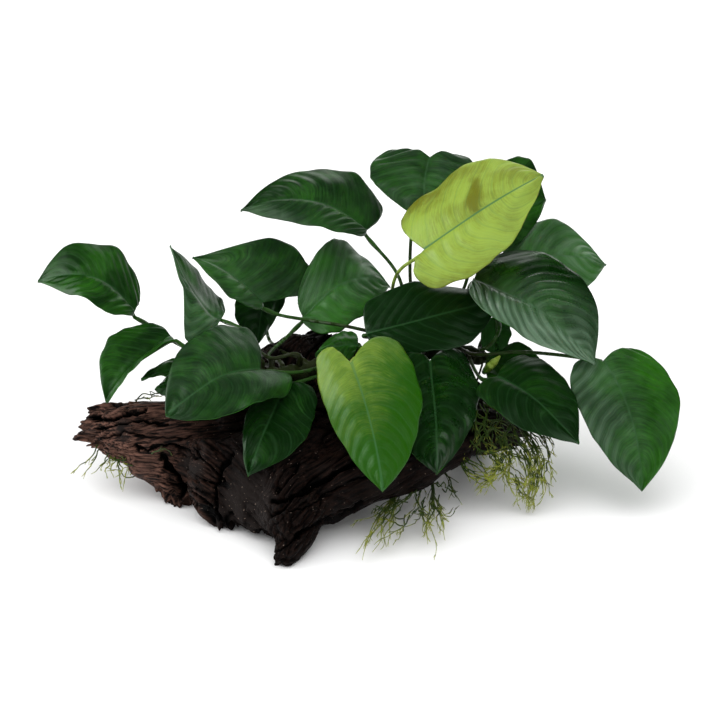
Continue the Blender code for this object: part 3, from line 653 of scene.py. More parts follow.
class Finish:
    """A procedural material whose nodes are added one after the other."""

    def __init__(self, name, roughness, specular=0.5, coat=0.0, coat_roughness=0.1, subsurface=0.0):
        self.material = bpy.data.materials.new(name)
        self.material.use_nodes = True
        self.tree = self.material.node_tree
        self.shader = self.tree.nodes["Principled BSDF"]
        self.shader.inputs["Roughness"].default_value = roughness
        self.shader.inputs["Specular IOR Level"].default_value = specular
        self.shader.inputs["Coat Weight"].default_value = coat
        self.shader.inputs["Coat Roughness"].default_value = coat_roughness
        self.shader.inputs["Subsurface Weight"].default_value = subsurface
        self.shader.inputs["Subsurface Scale"].default_value = 1.0 * MM

    def put(self, socket, value):
        if isinstance(value, bpy.types.NodeSocket):
            self.tree.links.new(value, socket)
        elif socket.type == "RGBA":
            socket.default_value = (*value, 1.0)
        else:
            socket.default_value = value

    def node(self, kind, inputs, **settings):
        made = self.tree.nodes.new(kind)
        for name, value in settings.items():
            setattr(made, name, value)
        for key, value in inputs.items():
            self.put(made.inputs[key], value)
        return made

    def place(self):
        return self.node("ShaderNodeTexCoord", {}).outputs["Object"]

    def attribute(self, name, output="Fac"):
        return self.node("ShaderNodeAttribute", {}, attribute_name=name).outputs[output]

    def stretched(self, vector, scale):
        return self.node("ShaderNodeMapping", {"Vector": vector, "Scale": scale}).outputs["Vector"]

    def noise(self, vector, scale, detail=4.0, roughness=0.55):
        inputs = {"Vector": vector, "Scale": scale, "Detail": detail, "Roughness": roughness}
        return self.node("ShaderNodeTexNoise", inputs).outputs["Fac"]

    def cells(self, vector, scale):
        return self.node("ShaderNodeTexVoronoi", {"Vector": vector, "Scale": scale}).outputs["Distance"]

    def sum(self, operation, first, second=0.0):
        return self.node("ShaderNodeMath", {0: first, 1: second}, operation=operation).outputs[0]

    def eased(self, value, low, high, start=0.0, end=1.0):
        inputs = {"Value": value, "From Min": low, "From Max": high, "To Min": start, "To Max": end}
        return self.node("ShaderNodeMapRange", inputs, interpolation_type="SMOOTHSTEP").outputs["Result"]

    def axis(self, vector, name):
        return self.node("ShaderNodeSeparateXYZ", {"Vector": vector}).outputs[name]

    def mix(self, share, first, second):
        return self.node("ShaderNodeMix", {0: share, 6: first, 7: second}, data_type="RGBA").outputs[2]

    def bump(self, height, strength, distance):
        inputs = {"Height": height, "Strength": strength, "Distance": distance}
        return self.node("ShaderNodeBump", inputs).outputs["Normal"]

    def finished(self, colour, roughness, normal):
        self.put(self.shader.inputs["Base Color"], colour)
        self.put(self.shader.inputs["Roughness"], roughness)
        self.put(self.shader.inputs["Normal"], normal)
        return self.material


def blade_finish(name, dark, bright, vein, under, wetness, contrast=1.0, veining=1.0, rib=0.5):
    """A blade's skin: mottled between two greens, with paler veins, fine streaks, a painted grey-green sheen
    and a gloss.
    """
    finish = Finish(name, 0.4, 0.45, wetness, 0.12, 0.04)
    finish.put(finish.shader.inputs["Specular Tint"], GLOSS_TINT)
    place_on = finish.place()
    layout = finish.attribute("veins", "Vector")
    tone = finish.attribute("tone")
    from_rib, passed = (finish.axis(layout, axis) for axis in "XY")
    away = finish.sum("ABSOLUTE", from_rib)
    mottle = finish.noise(place_on, 55.0, 5.0, 0.6)
    streaks = finish.noise(finish.stretched(layout, (0.12, 13.0, 1.0)), 1.0, 5.0, 0.7)
    mood = finish.sum("ADD", tone, finish.eased(mottle, 0.3, 0.7, -0.2 * contrast, 0.2 * contrast))
    mood = finish.sum("ADD", mood, finish.eased(streaks, 0.3, 0.7, -0.16 * contrast, 0.16 * contrast))
    flesh = finish.mix(finish.eased(mood, 0.0, 1.0), dark, bright)
    to_vein = finish.sum("PINGPONG", passed, 0.5)
    line = finish.eased(to_vein, 0.02, 0.12, 0.22 * veining, 0.0)
    branch = finish.eased(finish.sum("PINGPONG", passed, 0.125), 0.005, 0.035, 0.12 * veining, 0.0)
    lines = finish.sum("MAXIMUM", finish.sum("MAXIMUM", line, branch), finish.eased(away, 0.3, 0.8, rib, 0.0))
    colour = finish.mix(lines, flesh, vein)
    # Painted sheen: a grey-green share of the colour that stands in for reflected light.
    sheen_share = finish.sum("MULTIPLY", finish.attribute("bloom"), finish.eased(streaks, 0.3, 0.7, 0.7, 1.3))
    colour = finish.mix(sheen_share, colour, PAINTED_SHEEN_COLOUR)
    aged = finish.eased(finish.noise(place_on, 120.0, 6.0, 0.7), 0.66, 0.78, 0.0, 0.5)
    colour = finish.mix(aged, colour, under)
    grain = finish.noise(place_on, 1600.0, 3.0, 0.6)
    pits = finish.sum("ADD", streaks, finish.sum("MULTIPLY", grain, 0.25))
    height = finish.sum("SUBTRACT", pits, finish.sum("MULTIPLY", lines, 0.5))
    shine = finish.eased(finish.noise(place_on, 160.0, 4.0, 0.6), 0.3, 0.7, 0.28, 0.42)
    if wetness > 0.3:
        beads = finish.eased(finish.cells(place_on, 520.0), 0.12, 0.34, 0.5, 0.0)
        wet = finish.eased(finish.noise(place_on, 90.0, 3.0, 0.6), 0.5, 0.62)
        height = finish.sum("ADD", height, finish.sum("MULTIPLY", beads, wet))
        shine = finish.sum("SUBTRACT", shine, finish.sum("MULTIPLY", wet, 0.16))
    return finish.finished(colour, shine, finish.bump(height, 0.4, 0.3 * MM))


def stalk_finish(name, foot, tip):
    """A petiole's skin: brownish at the foot and green towards the blade, with long fine ribs."""
    finish = Finish(name, 0.4, 0.3)
    place_on = finish.place()
    along = finish.attribute("along")
    mottle = finish.noise(place_on, 260.0, 5.0, 0.6)
    ripening = finish.sum("ADD", along, finish.eased(mottle, 0.3, 0.7, -0.2, 0.2))
    colour = finish.mix(finish.eased(ripening, 0.15, 0.85), foot, tip)
    specks = finish.eased(finish.noise(place_on, 1500.0, 2.0, 0.5), 0.62, 0.72, 0.0, 0.5)
    colour = finish.mix(specks, colour, darker(foot, 0.4))
    ribs = finish.noise(finish.stretched(finish.attribute("skin", "Vector"), (1.0, 1.0, 0.06)), 2.2, 3.0, 0.6)
    shine = finish.eased(mottle, 0.3, 0.7, 0.32, 0.48)
    return finish.finished(colour, shine, finish.bump(ribs, 0.4, 0.2 * MM))


def bark_finish(name, low, high, scale):
    """The rough skin of the rhizome and the roots."""
    finish = Finish(name, 0.6, 0.12)
    place_on = finish.place()
    patches = finish.noise(place_on, scale, 6.0, 0.65)
    fibres = finish.noise(place_on, scale * 7.0, 4.0, 0.7)
    colour = finish.mix(finish.eased(patches, 0.35, 0.65), low, high)
    colour = finish.mix(finish.eased(fibres, 0.55, 0.7, 0.0, 0.6), colour, darker(low, 0.35))
    shine = finish.eased(patches, 0.3, 0.7, 0.45, 0.75)
    return finish.finished(colour, shine, finish.bump(fibres, 0.6, 0.3 * MM))


def wood_finish(name, dark, brown, red, grey):
    """Wet bogwood: nearly black, browner on its raised fibres, redder at the left, greyer where worn (partly
    painted sheen), darker in its cracks and slits (painted shade), with pale specks painted as glints.
    """
    finish = Finish(name, 0.55, 0.07)
    place_on = finish.place()
    fibre_place = finish.attribute("grain", "Vector")
    fibres = finish.noise(finish.stretched(fibre_place, (1.0, 1.0, 0.07)), 0.9, 8.0, 0.68)
    threads = finish.noise(finish.stretched(fibre_place, (1.0, 1.0, 0.05)), 3.2, 4.0, 0.65)
    stains = finish.noise(place_on, 38.0, 5.0, 0.6)
    out_left = finish.eased(finish.axis(place_on, "X"), -0.115, -0.058, 1.0, 0.0)
    weathered = finish.sum("MULTIPLY", out_left, finish.eased(stains, 0.36, 0.6, 0.35, 1.0))
    hue = finish.mix(weathered, brown, red)
    raised = finish.eased(fibres, 0.40, 0.62)
    colour = finish.mix(raised, dark, hue)
    colour = finish.mix(finish.eased(stains, 0.5, 0.66, 0.0, 0.6), colour, grey)
    # Worn patches turn grey: partly real wear, partly painted sheen.
    worn = finish.attribute("worn")
    colour = finish.mix(worn, colour, grey)
    # Painted shade: the cracks and slits are darker.
    colour = finish.mix(finish.eased(finish.attribute("depth"), 0.1, 0.9), colour, darker(dark, 0.35))
    # Painted glints: pale specks, most of them on the worn patches.
    rare = finish.eased(worn, 0.0, 0.6, 0.74, 0.705)
    glint_dots = finish.sum("SUBTRACT", finish.noise(place_on, 1000.0, 1.0, 0.4), rare)
    colour = finish.mix(finish.eased(glint_dots, 0.0, 0.05, 0.0, 0.7), colour, PAINTED_GLINTS)
    shine = finish.eased(finish.noise(place_on, 70.0, 4.0, 0.6), 0.35, 0.65, 0.42, 0.72)
    pores = finish.noise(place_on, 620.0, 4.0, 0.7)
    height = finish.sum("ADD", fibres, finish.sum("MULTIPLY", threads, 0.45))
    height = finish.sum("ADD", height, finish.sum("MULTIPLY", pores, 0.4))
    return finish.finished(colour, shine, finish.bump(height, 0.6, 0.7 * MM))


def moss_finish(name, old, fresh):
    """Moss that goes from dark stems to yellow-green tips."""
    finish = Finish(name, 0.55, 0.4, 0.0, 0.1, 0.1)
    along = finish.attribute("along")
    place_on = finish.place()
    mottle = finish.noise(place_on, 420.0, 3.0, 0.6)
    age = finish.sum("ADD", along, finish.eased(mottle, 0.3, 0.7, -0.35, 0.35))
    colour = finish.mix(finish.eased(age, 0.15, 1.0), old, fresh)
    grain = finish.noise(place_on, 2500.0, 2.0, 0.6)
    shine = finish.eased(mottle, 0.3, 0.7, 0.4, 0.65)
    return finish.finished(colour, shine, finish.bump(grain, 0.3, 0.1 * MM))


def size_in_mm(name, description, millimetres):
    return FloatProperty(name=name, description=description, default=millimetres * MM, unit="LENGTH")


def tint(name, description, default):
    return FloatVectorProperty(name=name, description=description, default=default, subtype="COLOR")


class BladeLook(bpy.types.PropertyGroup):
    """Sizes and colours of the blades."""

    thickness: size_in_mm("Thickness", "Thickness of a blade", 0.5)
    ripple: size_in_mm("Ripple", "Height of the swellings between veins", 0.7)
    vein_spacing: size_in_mm("Vein spacing", "Distance between lateral veins", 7.2)
    midrib_depth: size_in_mm("Midrib depth", "How deep the midrib lies in the face", 0.7)
    midrib_width: size_in_mm("Midrib width", "Half width of the midrib's groove", 1.5)
    margin_wave: size_in_mm("Margin wave", "Height of the waves along the edge", 1.5)
    unevenness: size_in_mm("Unevenness", "How far a blade strays from its plain curve", 1.9)
    dark: tint("Dark green", "Colour of an old blade", (0.0014, 0.013, 0.0008))
    bright: tint("Bright green", "Colour of a younger blade", (0.021, 0.122, 0.003))
    vein: tint("Veins", "Colour of a green blade's veins", (0.020, 0.070, 0.020))
    under: tint("Underside", "Colour of a blade's underside", (0.018, 0.085, 0.012))
    lime: tint("Lime", "Colour of a new blade", (0.014, 0.078, 0.0005))
    pale_lime: tint("Pale lime", "Colour of the newest blade", (0.24, 0.34, 0.045))
    olive: tint("Olive", "Colour of the newest blade's margin", (0.12, 0.13, 0.008))
    lime_vein: tint("Lime veins", "Colour of a new blade's veins", (0.045, 0.14, 0.05))


class StemLook(bpy.types.PropertyGroup):
    """Sizes and colours of the petioles, the rhizome and the roots."""

    petiole: size_in_mm("Petiole radius", "Radius of a petiole half-way up", 0.9)
    joint: FloatProperty(
        name="Joint", description="How much thicker the joint below a blade is", default=0.4, subtype="FACTOR"
    )
    root: size_in_mm("Root radius", "Radius of a root", 0.6)
    roots: IntProperty(name="Roots", description="How many roots hold the rhizome to the wood", default=26)
    green: tint("Petiole green", "Colour below a blade", (0.019, 0.066, 0.007))
    olive: tint("Petiole foot", "Colour at the rhizome", (0.013, 0.018, 0.004))
    rhizome: tint("Rhizome", "Colour of the rhizome", (0.013, 0.021, 0.005))
    root_colour: tint("Roots", "Colour of the roots", (0.030, 0.017, 0.008))


class WoodLook(bpy.types.PropertyGroup):
    """Sizes and colours of the driftwood."""

    grain: size_in_mm("Grain", "Size of the smallest facet carved", 0.64)
    crack: size_in_mm("Cracks", "Depth of the long cracks", 2.6)
    fibre: size_in_mm("Fibres", "Depth between raised fibres", 1.1)
    swell: size_in_mm("Swell", "Height of knobs and hollows", 3.0)
    dark: tint("Dark wood", "Colour in the grain", (0.0013, 0.0009, 0.0008))
    brown: tint("Brown wood", "Colour of raised fibres", (0.0105, 0.0050, 0.0035))
    red: tint("Red wood", "Colour of fibres on the left limb", (0.22, 0.110, 0.080))
    # The worn patches' grey is partly painted sheen.
    grey: tint("Grey wood", "Colour of the worn patches", (0.0125, 0.0092, 0.0082))


class MossLook(bpy.types.PropertyGroup):
    """Sizes and colours of the moss."""

    stem: size_in_mm("Stem radius", "Radius of a strand", 0.38)
    leaflet: size_in_mm("Leaflet", "Length of a leaflet", 0.6)
    strands: IntProperty(
        name="Strands", description="How many short strands fill the largest tuft", default=20
    )
    copies: IntProperty(
        name="Copies", description="How many strands run along each course that hangs free", default=4
    )
    old: tint("Old moss", "Colour of the stems", (0.022, 0.048, 0.004))
    fresh: tint("Fresh moss", "Colour of the tips", (0.31, 0.35, 0.045))


class StageLook(bpy.types.PropertyGroup):
    """The camera, the light and the floor."""

    lens: FloatProperty(name="Lens", description="Focal length in millimetres", default=120.0)
    sky: FloatProperty(name="Surround", description="Brightness of the light from all around", default=0.48)
    top_light: FloatProperty(name="Top light", description="Power of the soft light above", default=38.0)
    side_light: FloatProperty(
        name="Side lights", description="Power of the soft lights at the sides", default=13.0
    )
    floor: tint("Floor", "Colour of the floor", (0.90, 0.90, 0.90))


class ANUBIAS_OT_blades(bpy.types.Operator):
    """Grow every leaf's blade"""

    bl_idname = "anubias.blades"
    bl_label = "Blades"

    def execute(self, context):
        look = context.scene.anubias_blades
        under = blade_finish("blade_underside", look.under, look.under, look.vein, look.under, 0.0)
        lime_under = blade_finish("lime_underside", look.lime, look.pale_lime, look.lime_vein, look.lime, 0.0)
        green_rim = bark_finish("blade_rim", look.under, look.bright, 200.0)
        lime_rim = bark_finish("lime_rim", LIME_RIM, look.lime, 200.0)
        green_colours = (look.dark, look.bright, look.vein, look.under)
        lime_colours = (look.lime, look.pale_lime, look.lime_vein, look.lime)
        pale_colours = (look.olive, look.pale_lime, look.lime_vein, look.olive)
        faces = {
            "green": (blade_finish("blade_green", *green_colours, 0.0), under, green_rim),
            "wet": (blade_finish("blade_wet", *green_colours, 0.4), under, green_rim),
            "lime": (blade_finish("blade_lime", *lime_colours, 0.0, 0.6, 0.6), lime_under, lime_rim),
            "pale": (blade_finish("blade_pale", *pale_colours, 0.0, 1.3, 0.8, 0.85), lime_under, lime_rim),
        }
        for leaf in LEAVES:
            self.grow(leaf, look, faces[leaf.colour])
        return {"FINISHED"}

    def grow(self, leaf, look, surfaces):
        blade = Blade(leaf)
        work = bmesh.new()
        layout = work.verts.layers.float_vector.new("veins")
        tone = work.verts.layers.float.new("tone")
        bloom = work.verts.layers.float.new("bloom")
        bmesh.ops.create_grid(work, x_segments=BLADE_COLUMNS, y_segments=BLADE_ROWS, size=1.0)
        for vertex in work.verts:
            side, share = vertex.co.x, (vertex.co.y + 1.0) / 2.0
            vertex[layout] = (
                side * blade.half_width(share, side) / MM,
                blade.veins_passed(share, side, look.vein_spacing),
                share,
            )
            vertex[tone] = blade.tone(share, side)
            # How much sheen is painted on the blade here.
            vertex[bloom] = blade.bloom(share, side, look.vein_spacing)
            vertex.co = blade.surface(share, side, look)
        bmesh.ops.remove_doubles(work, verts=work.verts, dist=MERGE)
        piece = new_piece("blade_" + leaf.name, work, surfaces, ["leaf_" + leaf.name])
        shell = piece.modifiers.new("Thickness", "SOLIDIFY")
        shell.thickness = look.thickness
        shell.offset = 0.0
        shell.material_offset = 1
        shell.material_offset_rim = 2


def along_rings(work, rings, values):
    """Notes on each ring how far along the piece it is, and the place on its skin in millimetres."""
    along = work.verts.layers.float["along"]
    skin = work.verts.layers.float_vector["skin"]
    walked = 0.0
    centre = rings[0][0].co.copy()
    for ring, value in zip(rings, values, strict=True):
        middle = sum((vertex.co for vertex in ring), Vector()) / len(ring)
        walked += (middle - centre).length
        centre = middle
        for vertex in ring:
            vertex[along] = value
            across = (vertex.co - middle) / MM
            vertex[skin] = (across.x, across.y + across.z, walked / MM)


def stem_work():
    work = bmesh.new()
    work.verts.layers.float.new("along")
    work.verts.layers.float_vector.new("skin")
    return work


class ANUBIAS_OT_petioles(bpy.types.Operator):
    """Grow every leaf's petiole and the midrib under its blade"""

    bl_idname = "anubias.petioles"
    bl_label = "Petioles"

    def execute(self, context):
        look = context.scene.anubias_stems
        blades = context.scene.anubias_blades
        green = stalk_finish("petiole", look.olive, look.green)
        lime = stalk_finish("petiole_lime", look.green, blades.pale_lime)
        for leaf in LEAVES:
            self.grow(Blade(leaf), look, blades, lime if leaf.colour in LIME_COLOURS else green)
        return {"FINISHED"}

    def grow(self, blade, look, blades, surface):
        way = stalk_way(blade)
        length = path_length(way)
        points, radii, shares = [], [], []
        for k in range(STALK_STEPS + 1):
            share = k / STALK_STEPS
            from_foot, to_blade = share * length, (1.0 - share) * length
            swelling = look.joint * math.exp(-(((to_blade - 5.0 * MM) / (4.0 * MM)) ** 2))
            sheath = 0.9 * math.exp(-((from_foot / (9.0 * MM)) ** 2))
            points.append(along_spline(way, share))
            radii.append(look.petiole * (1.0 + swelling + sheath))
            shares.append(share)
        for k in range(1, KEEL_STEPS + 1):
            share = 0.92 * k / KEEL_STEPS
            radius = look.petiole * (0.85 - 0.65 * share)
            sink = blades.thickness / 2.0 + radius * 0.75
            points.append(blade.surface(share, 0.0, blades) - blade.face * sink)
            radii.append(radius)
            shares.append(1.0)
        work = stem_work()
        rings = sweep(work, points, radii, STALK_SIDES)
        along_rings(work, rings, shares)
        bmesh.ops.recalc_face_normals(work, faces=work.faces)
        new_piece("petiole_" + blade.leaf.name, work, [surface], ["stalk_" + blade.leaf.name])


class ANUBIAS_OT_rhizome(bpy.types.Operator):
    """Grow the creeping rhizome with its leaf scars, and its young rolled leaf"""

    bl_idname = "anubias.rhizome"
    bl_label = "Rhizome"

    def execute(self, context):
        look = context.scene.anubias_stems
        blades = context.scene.anubias_blades
        work = stem_work()
        points, radii, shares = [], [], []
        length = path_length(RHIZOME_WAY)
        for k in range(RHIZOME_STEPS + 1):
            share = k / RHIZOME_STEPS
            scar = abs(math.sin(math.pi * share * length / SCAR_SPACING))
            rounding = 0.55 + 0.45 * smoothstep(0.0, 4.0 * MM, min(share, 1.0 - share) * length)
            points.append(along_spline(RHIZOME_WAY, share))
            radii.append(RHIZOME_RADIUS * (0.94 + 0.08 * scar) * rounding)
            shares.append(share)
        rings = sweep(work, points, radii, RHIZOME_SIDES)
        along_rings(work, rings, shares)
        for ring, point in zip(rings, points, strict=True):
            for vertex in ring:
                vertex.co += (vertex.co - point) * (0.22 * noise.noise(vertex.co * 240.0))
        bmesh.ops.recalc_face_normals(work, faces=work.faces)
        surface = bark_finish("rhizome", look.olive, look.rhizome, 260.0)
        new_piece("rhizome_stem", work, [surface], ["rhizome"])
        self.grow_young_leaf(blades)
        return {"FINISHED"}

    def grow_young_leaf(self, blades):
        points, radii = limb_course(YOUNG_LEAF, YOUNG_STEPS)
        shares = [k / YOUNG_STEPS for k in range(YOUNG_STEPS + 1)]
        work = stem_work()
        rings = sweep(work, points, radii, YOUNG_SIDES)
        along_rings(work, rings, shares)
        for share, ring, point in zip(shares, rings, points, strict=True):
            for k, vertex in enumerate(ring):
                lap = (k / len(ring) + 0.35 * share) % 1.0
                vertex.co = point + (vertex.co - point) * (0.86 + 0.24 * lap)
        bmesh.ops.recalc_face_normals(work, faces=work.faces)
        surface = stalk_finish("young_leaf", blades.lime, blades.pale_lime)
        new_piece("young_leaf_roll", work, [surface], ["young_leaf"])


def limb_course(limb, steps):
    """Points along a limb and the radius at each."""
    spots = [place(*spot) for spot in limb.spots]
    shares = [k / steps for k in range(steps + 1)]
    points = [along_spline(spots, share) for share in shares]
    return points, [between(spots, limb.widths, share) * MM / 2.0 for share in shares]


def grain_places(coords, limbs):
    """For each point and the two limbs it is nearest to: how deep it lies, its place in the limb's own grain,
    the limb's number and direction, and how near the limb's far end is."""
    count = len(coords)
    depth = np.full((2, count), 1e9)
    spot = np.zeros((2, count, 3))
    owner = np.zeros((2, count), int)
    axis = np.zeros((2, count, 3))
    ending = np.full((2, count), 1e9)
    for number, limb in enumerate(limbs):
        points, radii = limb_course(limb, GRAIN_STEPS)
        centres = np.array(points)
        turns = np.array([[pose.col[c][:3] for c in range(3)] for pose in frames_along(points)])
        walked = np.concatenate([[0.0], np.cumsum(np.linalg.norm(np.diff(centres, axis=0), axis=1))])
        spread = (centres**2).sum(1)[None] - 2.0 * coords @ centres.T
        nearest = spread.argmin(1)
        local = np.einsum("nij,nj->ni", turns[nearest], coords - centres[nearest])
        beyond = np.where(nearest == 0, -local[:, 2], np.where(nearest == len(points) - 1, local[:, 2], 0.0))
        away = np.hypot(local[:, 0], local[:, 1]) - np.array(radii)[nearest] + np.maximum(beyond, 0.0)
        local[:, 2] += walked[nearest]
        left = walked[-1] - local[:, 2]
        first = away < depth[0]
        second = ~first & (away < depth[1])
        found = ((depth, away), (spot, local), (owner, number), (axis, turns[nearest][:, 2]), (ending, left))
        for table, value in found:
            table[1][first] = table[0][first]
            table[0][first] = value if np.isscalar(value) else value[first]
            table[1][second] = value if np.isscalar(value) else value[second]
    return depth, spot, owner, axis, ending


def carving(owner, spot, roughness, look):
    """How far the wood is carved at a place in a limb's grain, in metres, and how deep in a crack that is,
    which sets how much shade is painted there.
    """
    x, y, z = spot[0] / MM, spot[1] / MM, spot[2] / MM
    limb = 11.3 * owner
    crack = smoothstep(0.085, 0.0, abs(noise.noise(Vector((x / 9.0, y / 9.0, z / 70.0 + limb)))))
    split = smoothstep(0.14, 0.0, abs(noise.noise(Vector((x / 3.6, y / 3.6, z / 34.0 + limb + 5.0)))))
    ledge = (2.2 * noise.noise(Vector((x / 7.0, y / 7.0, z / 46.0 + limb + 9.0)))) % 1.0
    thread = noise.noise(Vector((x / 1.5, y / 1.5, z / 14.0 + limb)))
    deep = look.crack * crack + look.fibre * (0.7 * split + 1.5 * ledge**3 - 0.4 * thread)
    return roughness * deep, min(roughness * (crack + 0.5 * split), 1.0)


def slit_depths(spots):
    """How deep the slits cut at spots of the sketch, in millimetres."""
    deepest = np.zeros(len(spots))
    for course, width, depth in SLITS:
        for (x0, y0), (x1, y1) in zip(course, course[1:]):
            start, run = np.array((x0, y0)), np.array((x1 - x0, y1 - y0))
            share = np.clip((spots - start) @ run / (run @ run), 0.0, 1.0)
            away = np.linalg.norm(spots - start - share[:, None] * run, axis=1)
            deepest = np.maximum(deepest, depth * np.exp(-((2.0 * away / width) ** 4)))
    return deepest


def patch_shares(spots):
    """How far spots of the sketch lie in a worn patch, from 0 to 1. The patches are carved smoother and
    coloured grey, partly as painted sheen.
    """
    most = np.zeros(len(spots))
    for x, y, radius in PATCHES:
        away = np.linalg.norm(spots - np.array((x, y)), axis=1) / radius
        most = np.maximum(most, np.clip(1.6 - 1.2 * away, 0.0, 1.0))
    return most


class ANUBIAS_OT_driftwood(bpy.types.Operator):
    """Carve the driftwood along its grain and part it at its forks"""

    bl_idname = "anubias.driftwood"
    bl_label = "Driftwood"

    def execute(self, context):
        look = context.scene.anubias_wood
        mesh = self.grown_together(look.grain)
        self.carve(mesh, look)
        surface = wood_finish("driftwood", look.dark, look.brown, look.red, look.grey)
        self.part(mesh, surface)
        return {"FINISHED"}

    def grown_together(self, grain):
        """One fine skin around all the limbs."""
        work = bmesh.new()
        for limb in LIMBS + FILLERS:
            points, radii = limb_course(limb, LIMB_STEPS)
            sweep(work, points, radii, LIMB_SIDES)
        bmesh.ops.recalc_face_normals(work, faces=work.faces)
        whole = in_scene("driftwood_whole", mesh_from("driftwood_whole", work))
        skin = whole.modifiers.new("Skin", "REMESH")
        skin.mode = "VOXEL"
        skin.voxel_size = 4.0 * grain
        eased = whole.modifiers.new("Eased", "SMOOTH")
        eased.iterations = 5
        fine = whole.modifiers.new("Fine", "SUBSURF")
        fine.levels = fine.render_levels = 2
        made = bpy.data.meshes.new_from_object(whole.evaluated_get(bpy.context.evaluated_depsgraph_get()))
        bpy.data.objects.remove(whole)
        return made

    def carve(self, mesh, look):
        count = len(mesh.vertices)
        coords = np.zeros(count * 3)
        normals = np.zeros(count * 3)
        mesh.vertices.foreach_get("co", coords)
        mesh.vertex_normals.foreach_get("vector", normals)
        coords, normals = coords.reshape(-1, 3), normals.reshape(-1, 3)
        _, fray_spot, limb_of, axis, ending = (table[0] for table in grain_places(coords, LIMBS))
        depth, spot, owner, _, _ = grain_places(coords, GRAINS)
        own_share = 1.0 / (1.0 + np.exp(np.clip((depth[0] - depth[1]) / (2.0 * MM), -50.0, 50.0)))
        shaded = np.zeros(count)
        facing = np.clip(normals @ np.array(SIGHT) * 3.0, 0.0, 1.0)
        warp = np.array([noise.noise_vector(Vector(co) * 60.0)[:2] for co in coords])
        ragged = np.array([noise.noise_vector(Vector(co) * 260.0)[:2] for co in coords])
        spots = sketch_spots(coords)[0] + warp * 3.0
        slits = slit_depths(spots + ragged * 1.6) * facing
        # Worn patches: the carving is smoother there, and the colour greyer, partly as painted sheen.
        worn = patch_shares(spots + warp * 4.0 + ragged * 3.0) * facing
        for k in range(count):
            point = Vector(coords[k])
            rough_here = smoothstep(-0.3, 0.3, noise.noise(point * 26.0 + Vector((3.0, 1.0, 7.0))))
            roughness = (0.35 + 0.9 * rough_here) * (1.0 - 0.65 * worn[k])
            deep, shade = carving(owner[0, k], spot[0, k], roughness, look)
            if own_share[k] < 0.97:
                other, other_shade = carving(owner[1, k], spot[1, k], roughness, look)
                deep = deep * own_share[k] + other * (1.0 - own_share[k])
                shade = shade * own_share[k] + other_shade * (1.0 - own_share[k])
            swell = look.swell * (0.8 * noise.noise(point * 38.0) + 0.4 * noise.noise(point * 90.0))
            cut = slits[k] * MM * (1.0 + 0.5 * noise.noise(point * 150.0))
            # The slits get painted shade too.
            shade = max(shade, min(slits[k] / 2.0, 1.0))
            coords[k] += normals[k] * (swell + 0.6 * MM - deep - cut)
            frayed = LIMBS[limb_of[k]].frayed * MM
            if frayed and ending[k] < 2.5 * frayed:
                x, y = fray_spot[k, 0] / MM, fray_spot[k, 1] / MM
                pull = noise.noise(Vector((x / 2.6, y / 2.6, limb_of[k] * 4.7)))
                coords[k] += axis[k] * (2.2 * frayed * pull * smoothstep(2.5 * frayed, 0.0, ending[k]))
            shaded[k] = shade
        mesh.vertices.foreach_set("co", coords.ravel())
        grain = mesh.attributes.new("grain", "FLOAT_VECTOR", "POINT")
        offset = spot[0] / MM
        offset[:, 2] += owner[0] * 37.0
        grain.data.foreach_set("vector", offset.astype(np.float32).ravel())
        # depth holds the shade painted in the cracks and slits.
        for name, values in (("depth", shaded), ("worn", worn)):
            mesh.attributes.new(name, "FLOAT", "POINT").data.foreach_set("value", values.astype(np.float32))

    def part(self, mesh, surface):
        """Cuts the wood flat where it stands and along the forks, and closes each part."""
        work = bmesh.new()
        work.from_mesh(mesh)
        self.slice(work, Vector((0.0, 0.0, 0.0)), Vector((0.0, 0.0, -1.0)), clear=True)
        self.close(work)
        for x in CUTS_ACROSS:
            self.slice(work, Vector((x * MM, 0.0, 0.0)), Vector((1.0, 0.0, 0.0)))
        for y in CUTS_DEEP:
            self.slice(work, Vector((0.0, y * MM, 0.0)), Vector((0.0, 1.0, 0.0)))
        whole = mesh_from("driftwood_sliced", work)
        for node in WOOD_NODES:
            work = bmesh.new()
            work.from_mesh(whole)
            others = [face for face in work.faces if self.fork_of(face.calc_center_median() / MM) != node]
            bmesh.ops.delete(work, geom=others, context="FACES")
            self.close(work)
            new_piece(node.replace("driftwood", "wood"), work, [surface], [node])
        bpy.data.meshes.remove(whole)
        bpy.data.meshes.remove(mesh)

    def close(self, work):
        bmesh.ops.holes_fill(work, edges=[edge for edge in work.edges if edge.is_boundary], sides=0)

    def slice(self, work, point, normal, clear=False):
        geom = [*work.verts, *work.edges, *work.faces]
        bmesh.ops.bisect_plane(
            work, geom=geom, dist=MERGE, plane_co=point, plane_no=normal, clear_outer=clear
        )

    def fork_of(self, point):
        for node, (across, depth) in FORKS.items():
            if across[0] < point.x < across[1] and depth[0] < point.y < depth[1]:
                return node
        return "driftwood_body"


def surface_tree(names):
    """A search tree of the surface of some pieces."""
    work = bmesh.new()
    for name in names:
        work.from_mesh(bpy.data.objects[name].data)
    tree = BVHTree.FromBMesh(work)
    work.free()
    return tree


def untangled(points, gap):
    """The points without those that crowd, or turn back on, the ones before them."""
    kept = points[:2]
    for point in points[2:]:
        step, before = point - kept[-1], kept[-1] - kept[-2]
        if step.length > gap and step.normalized().dot(before.normalized()) > -0.5:
            kept.append(point)
    return kept


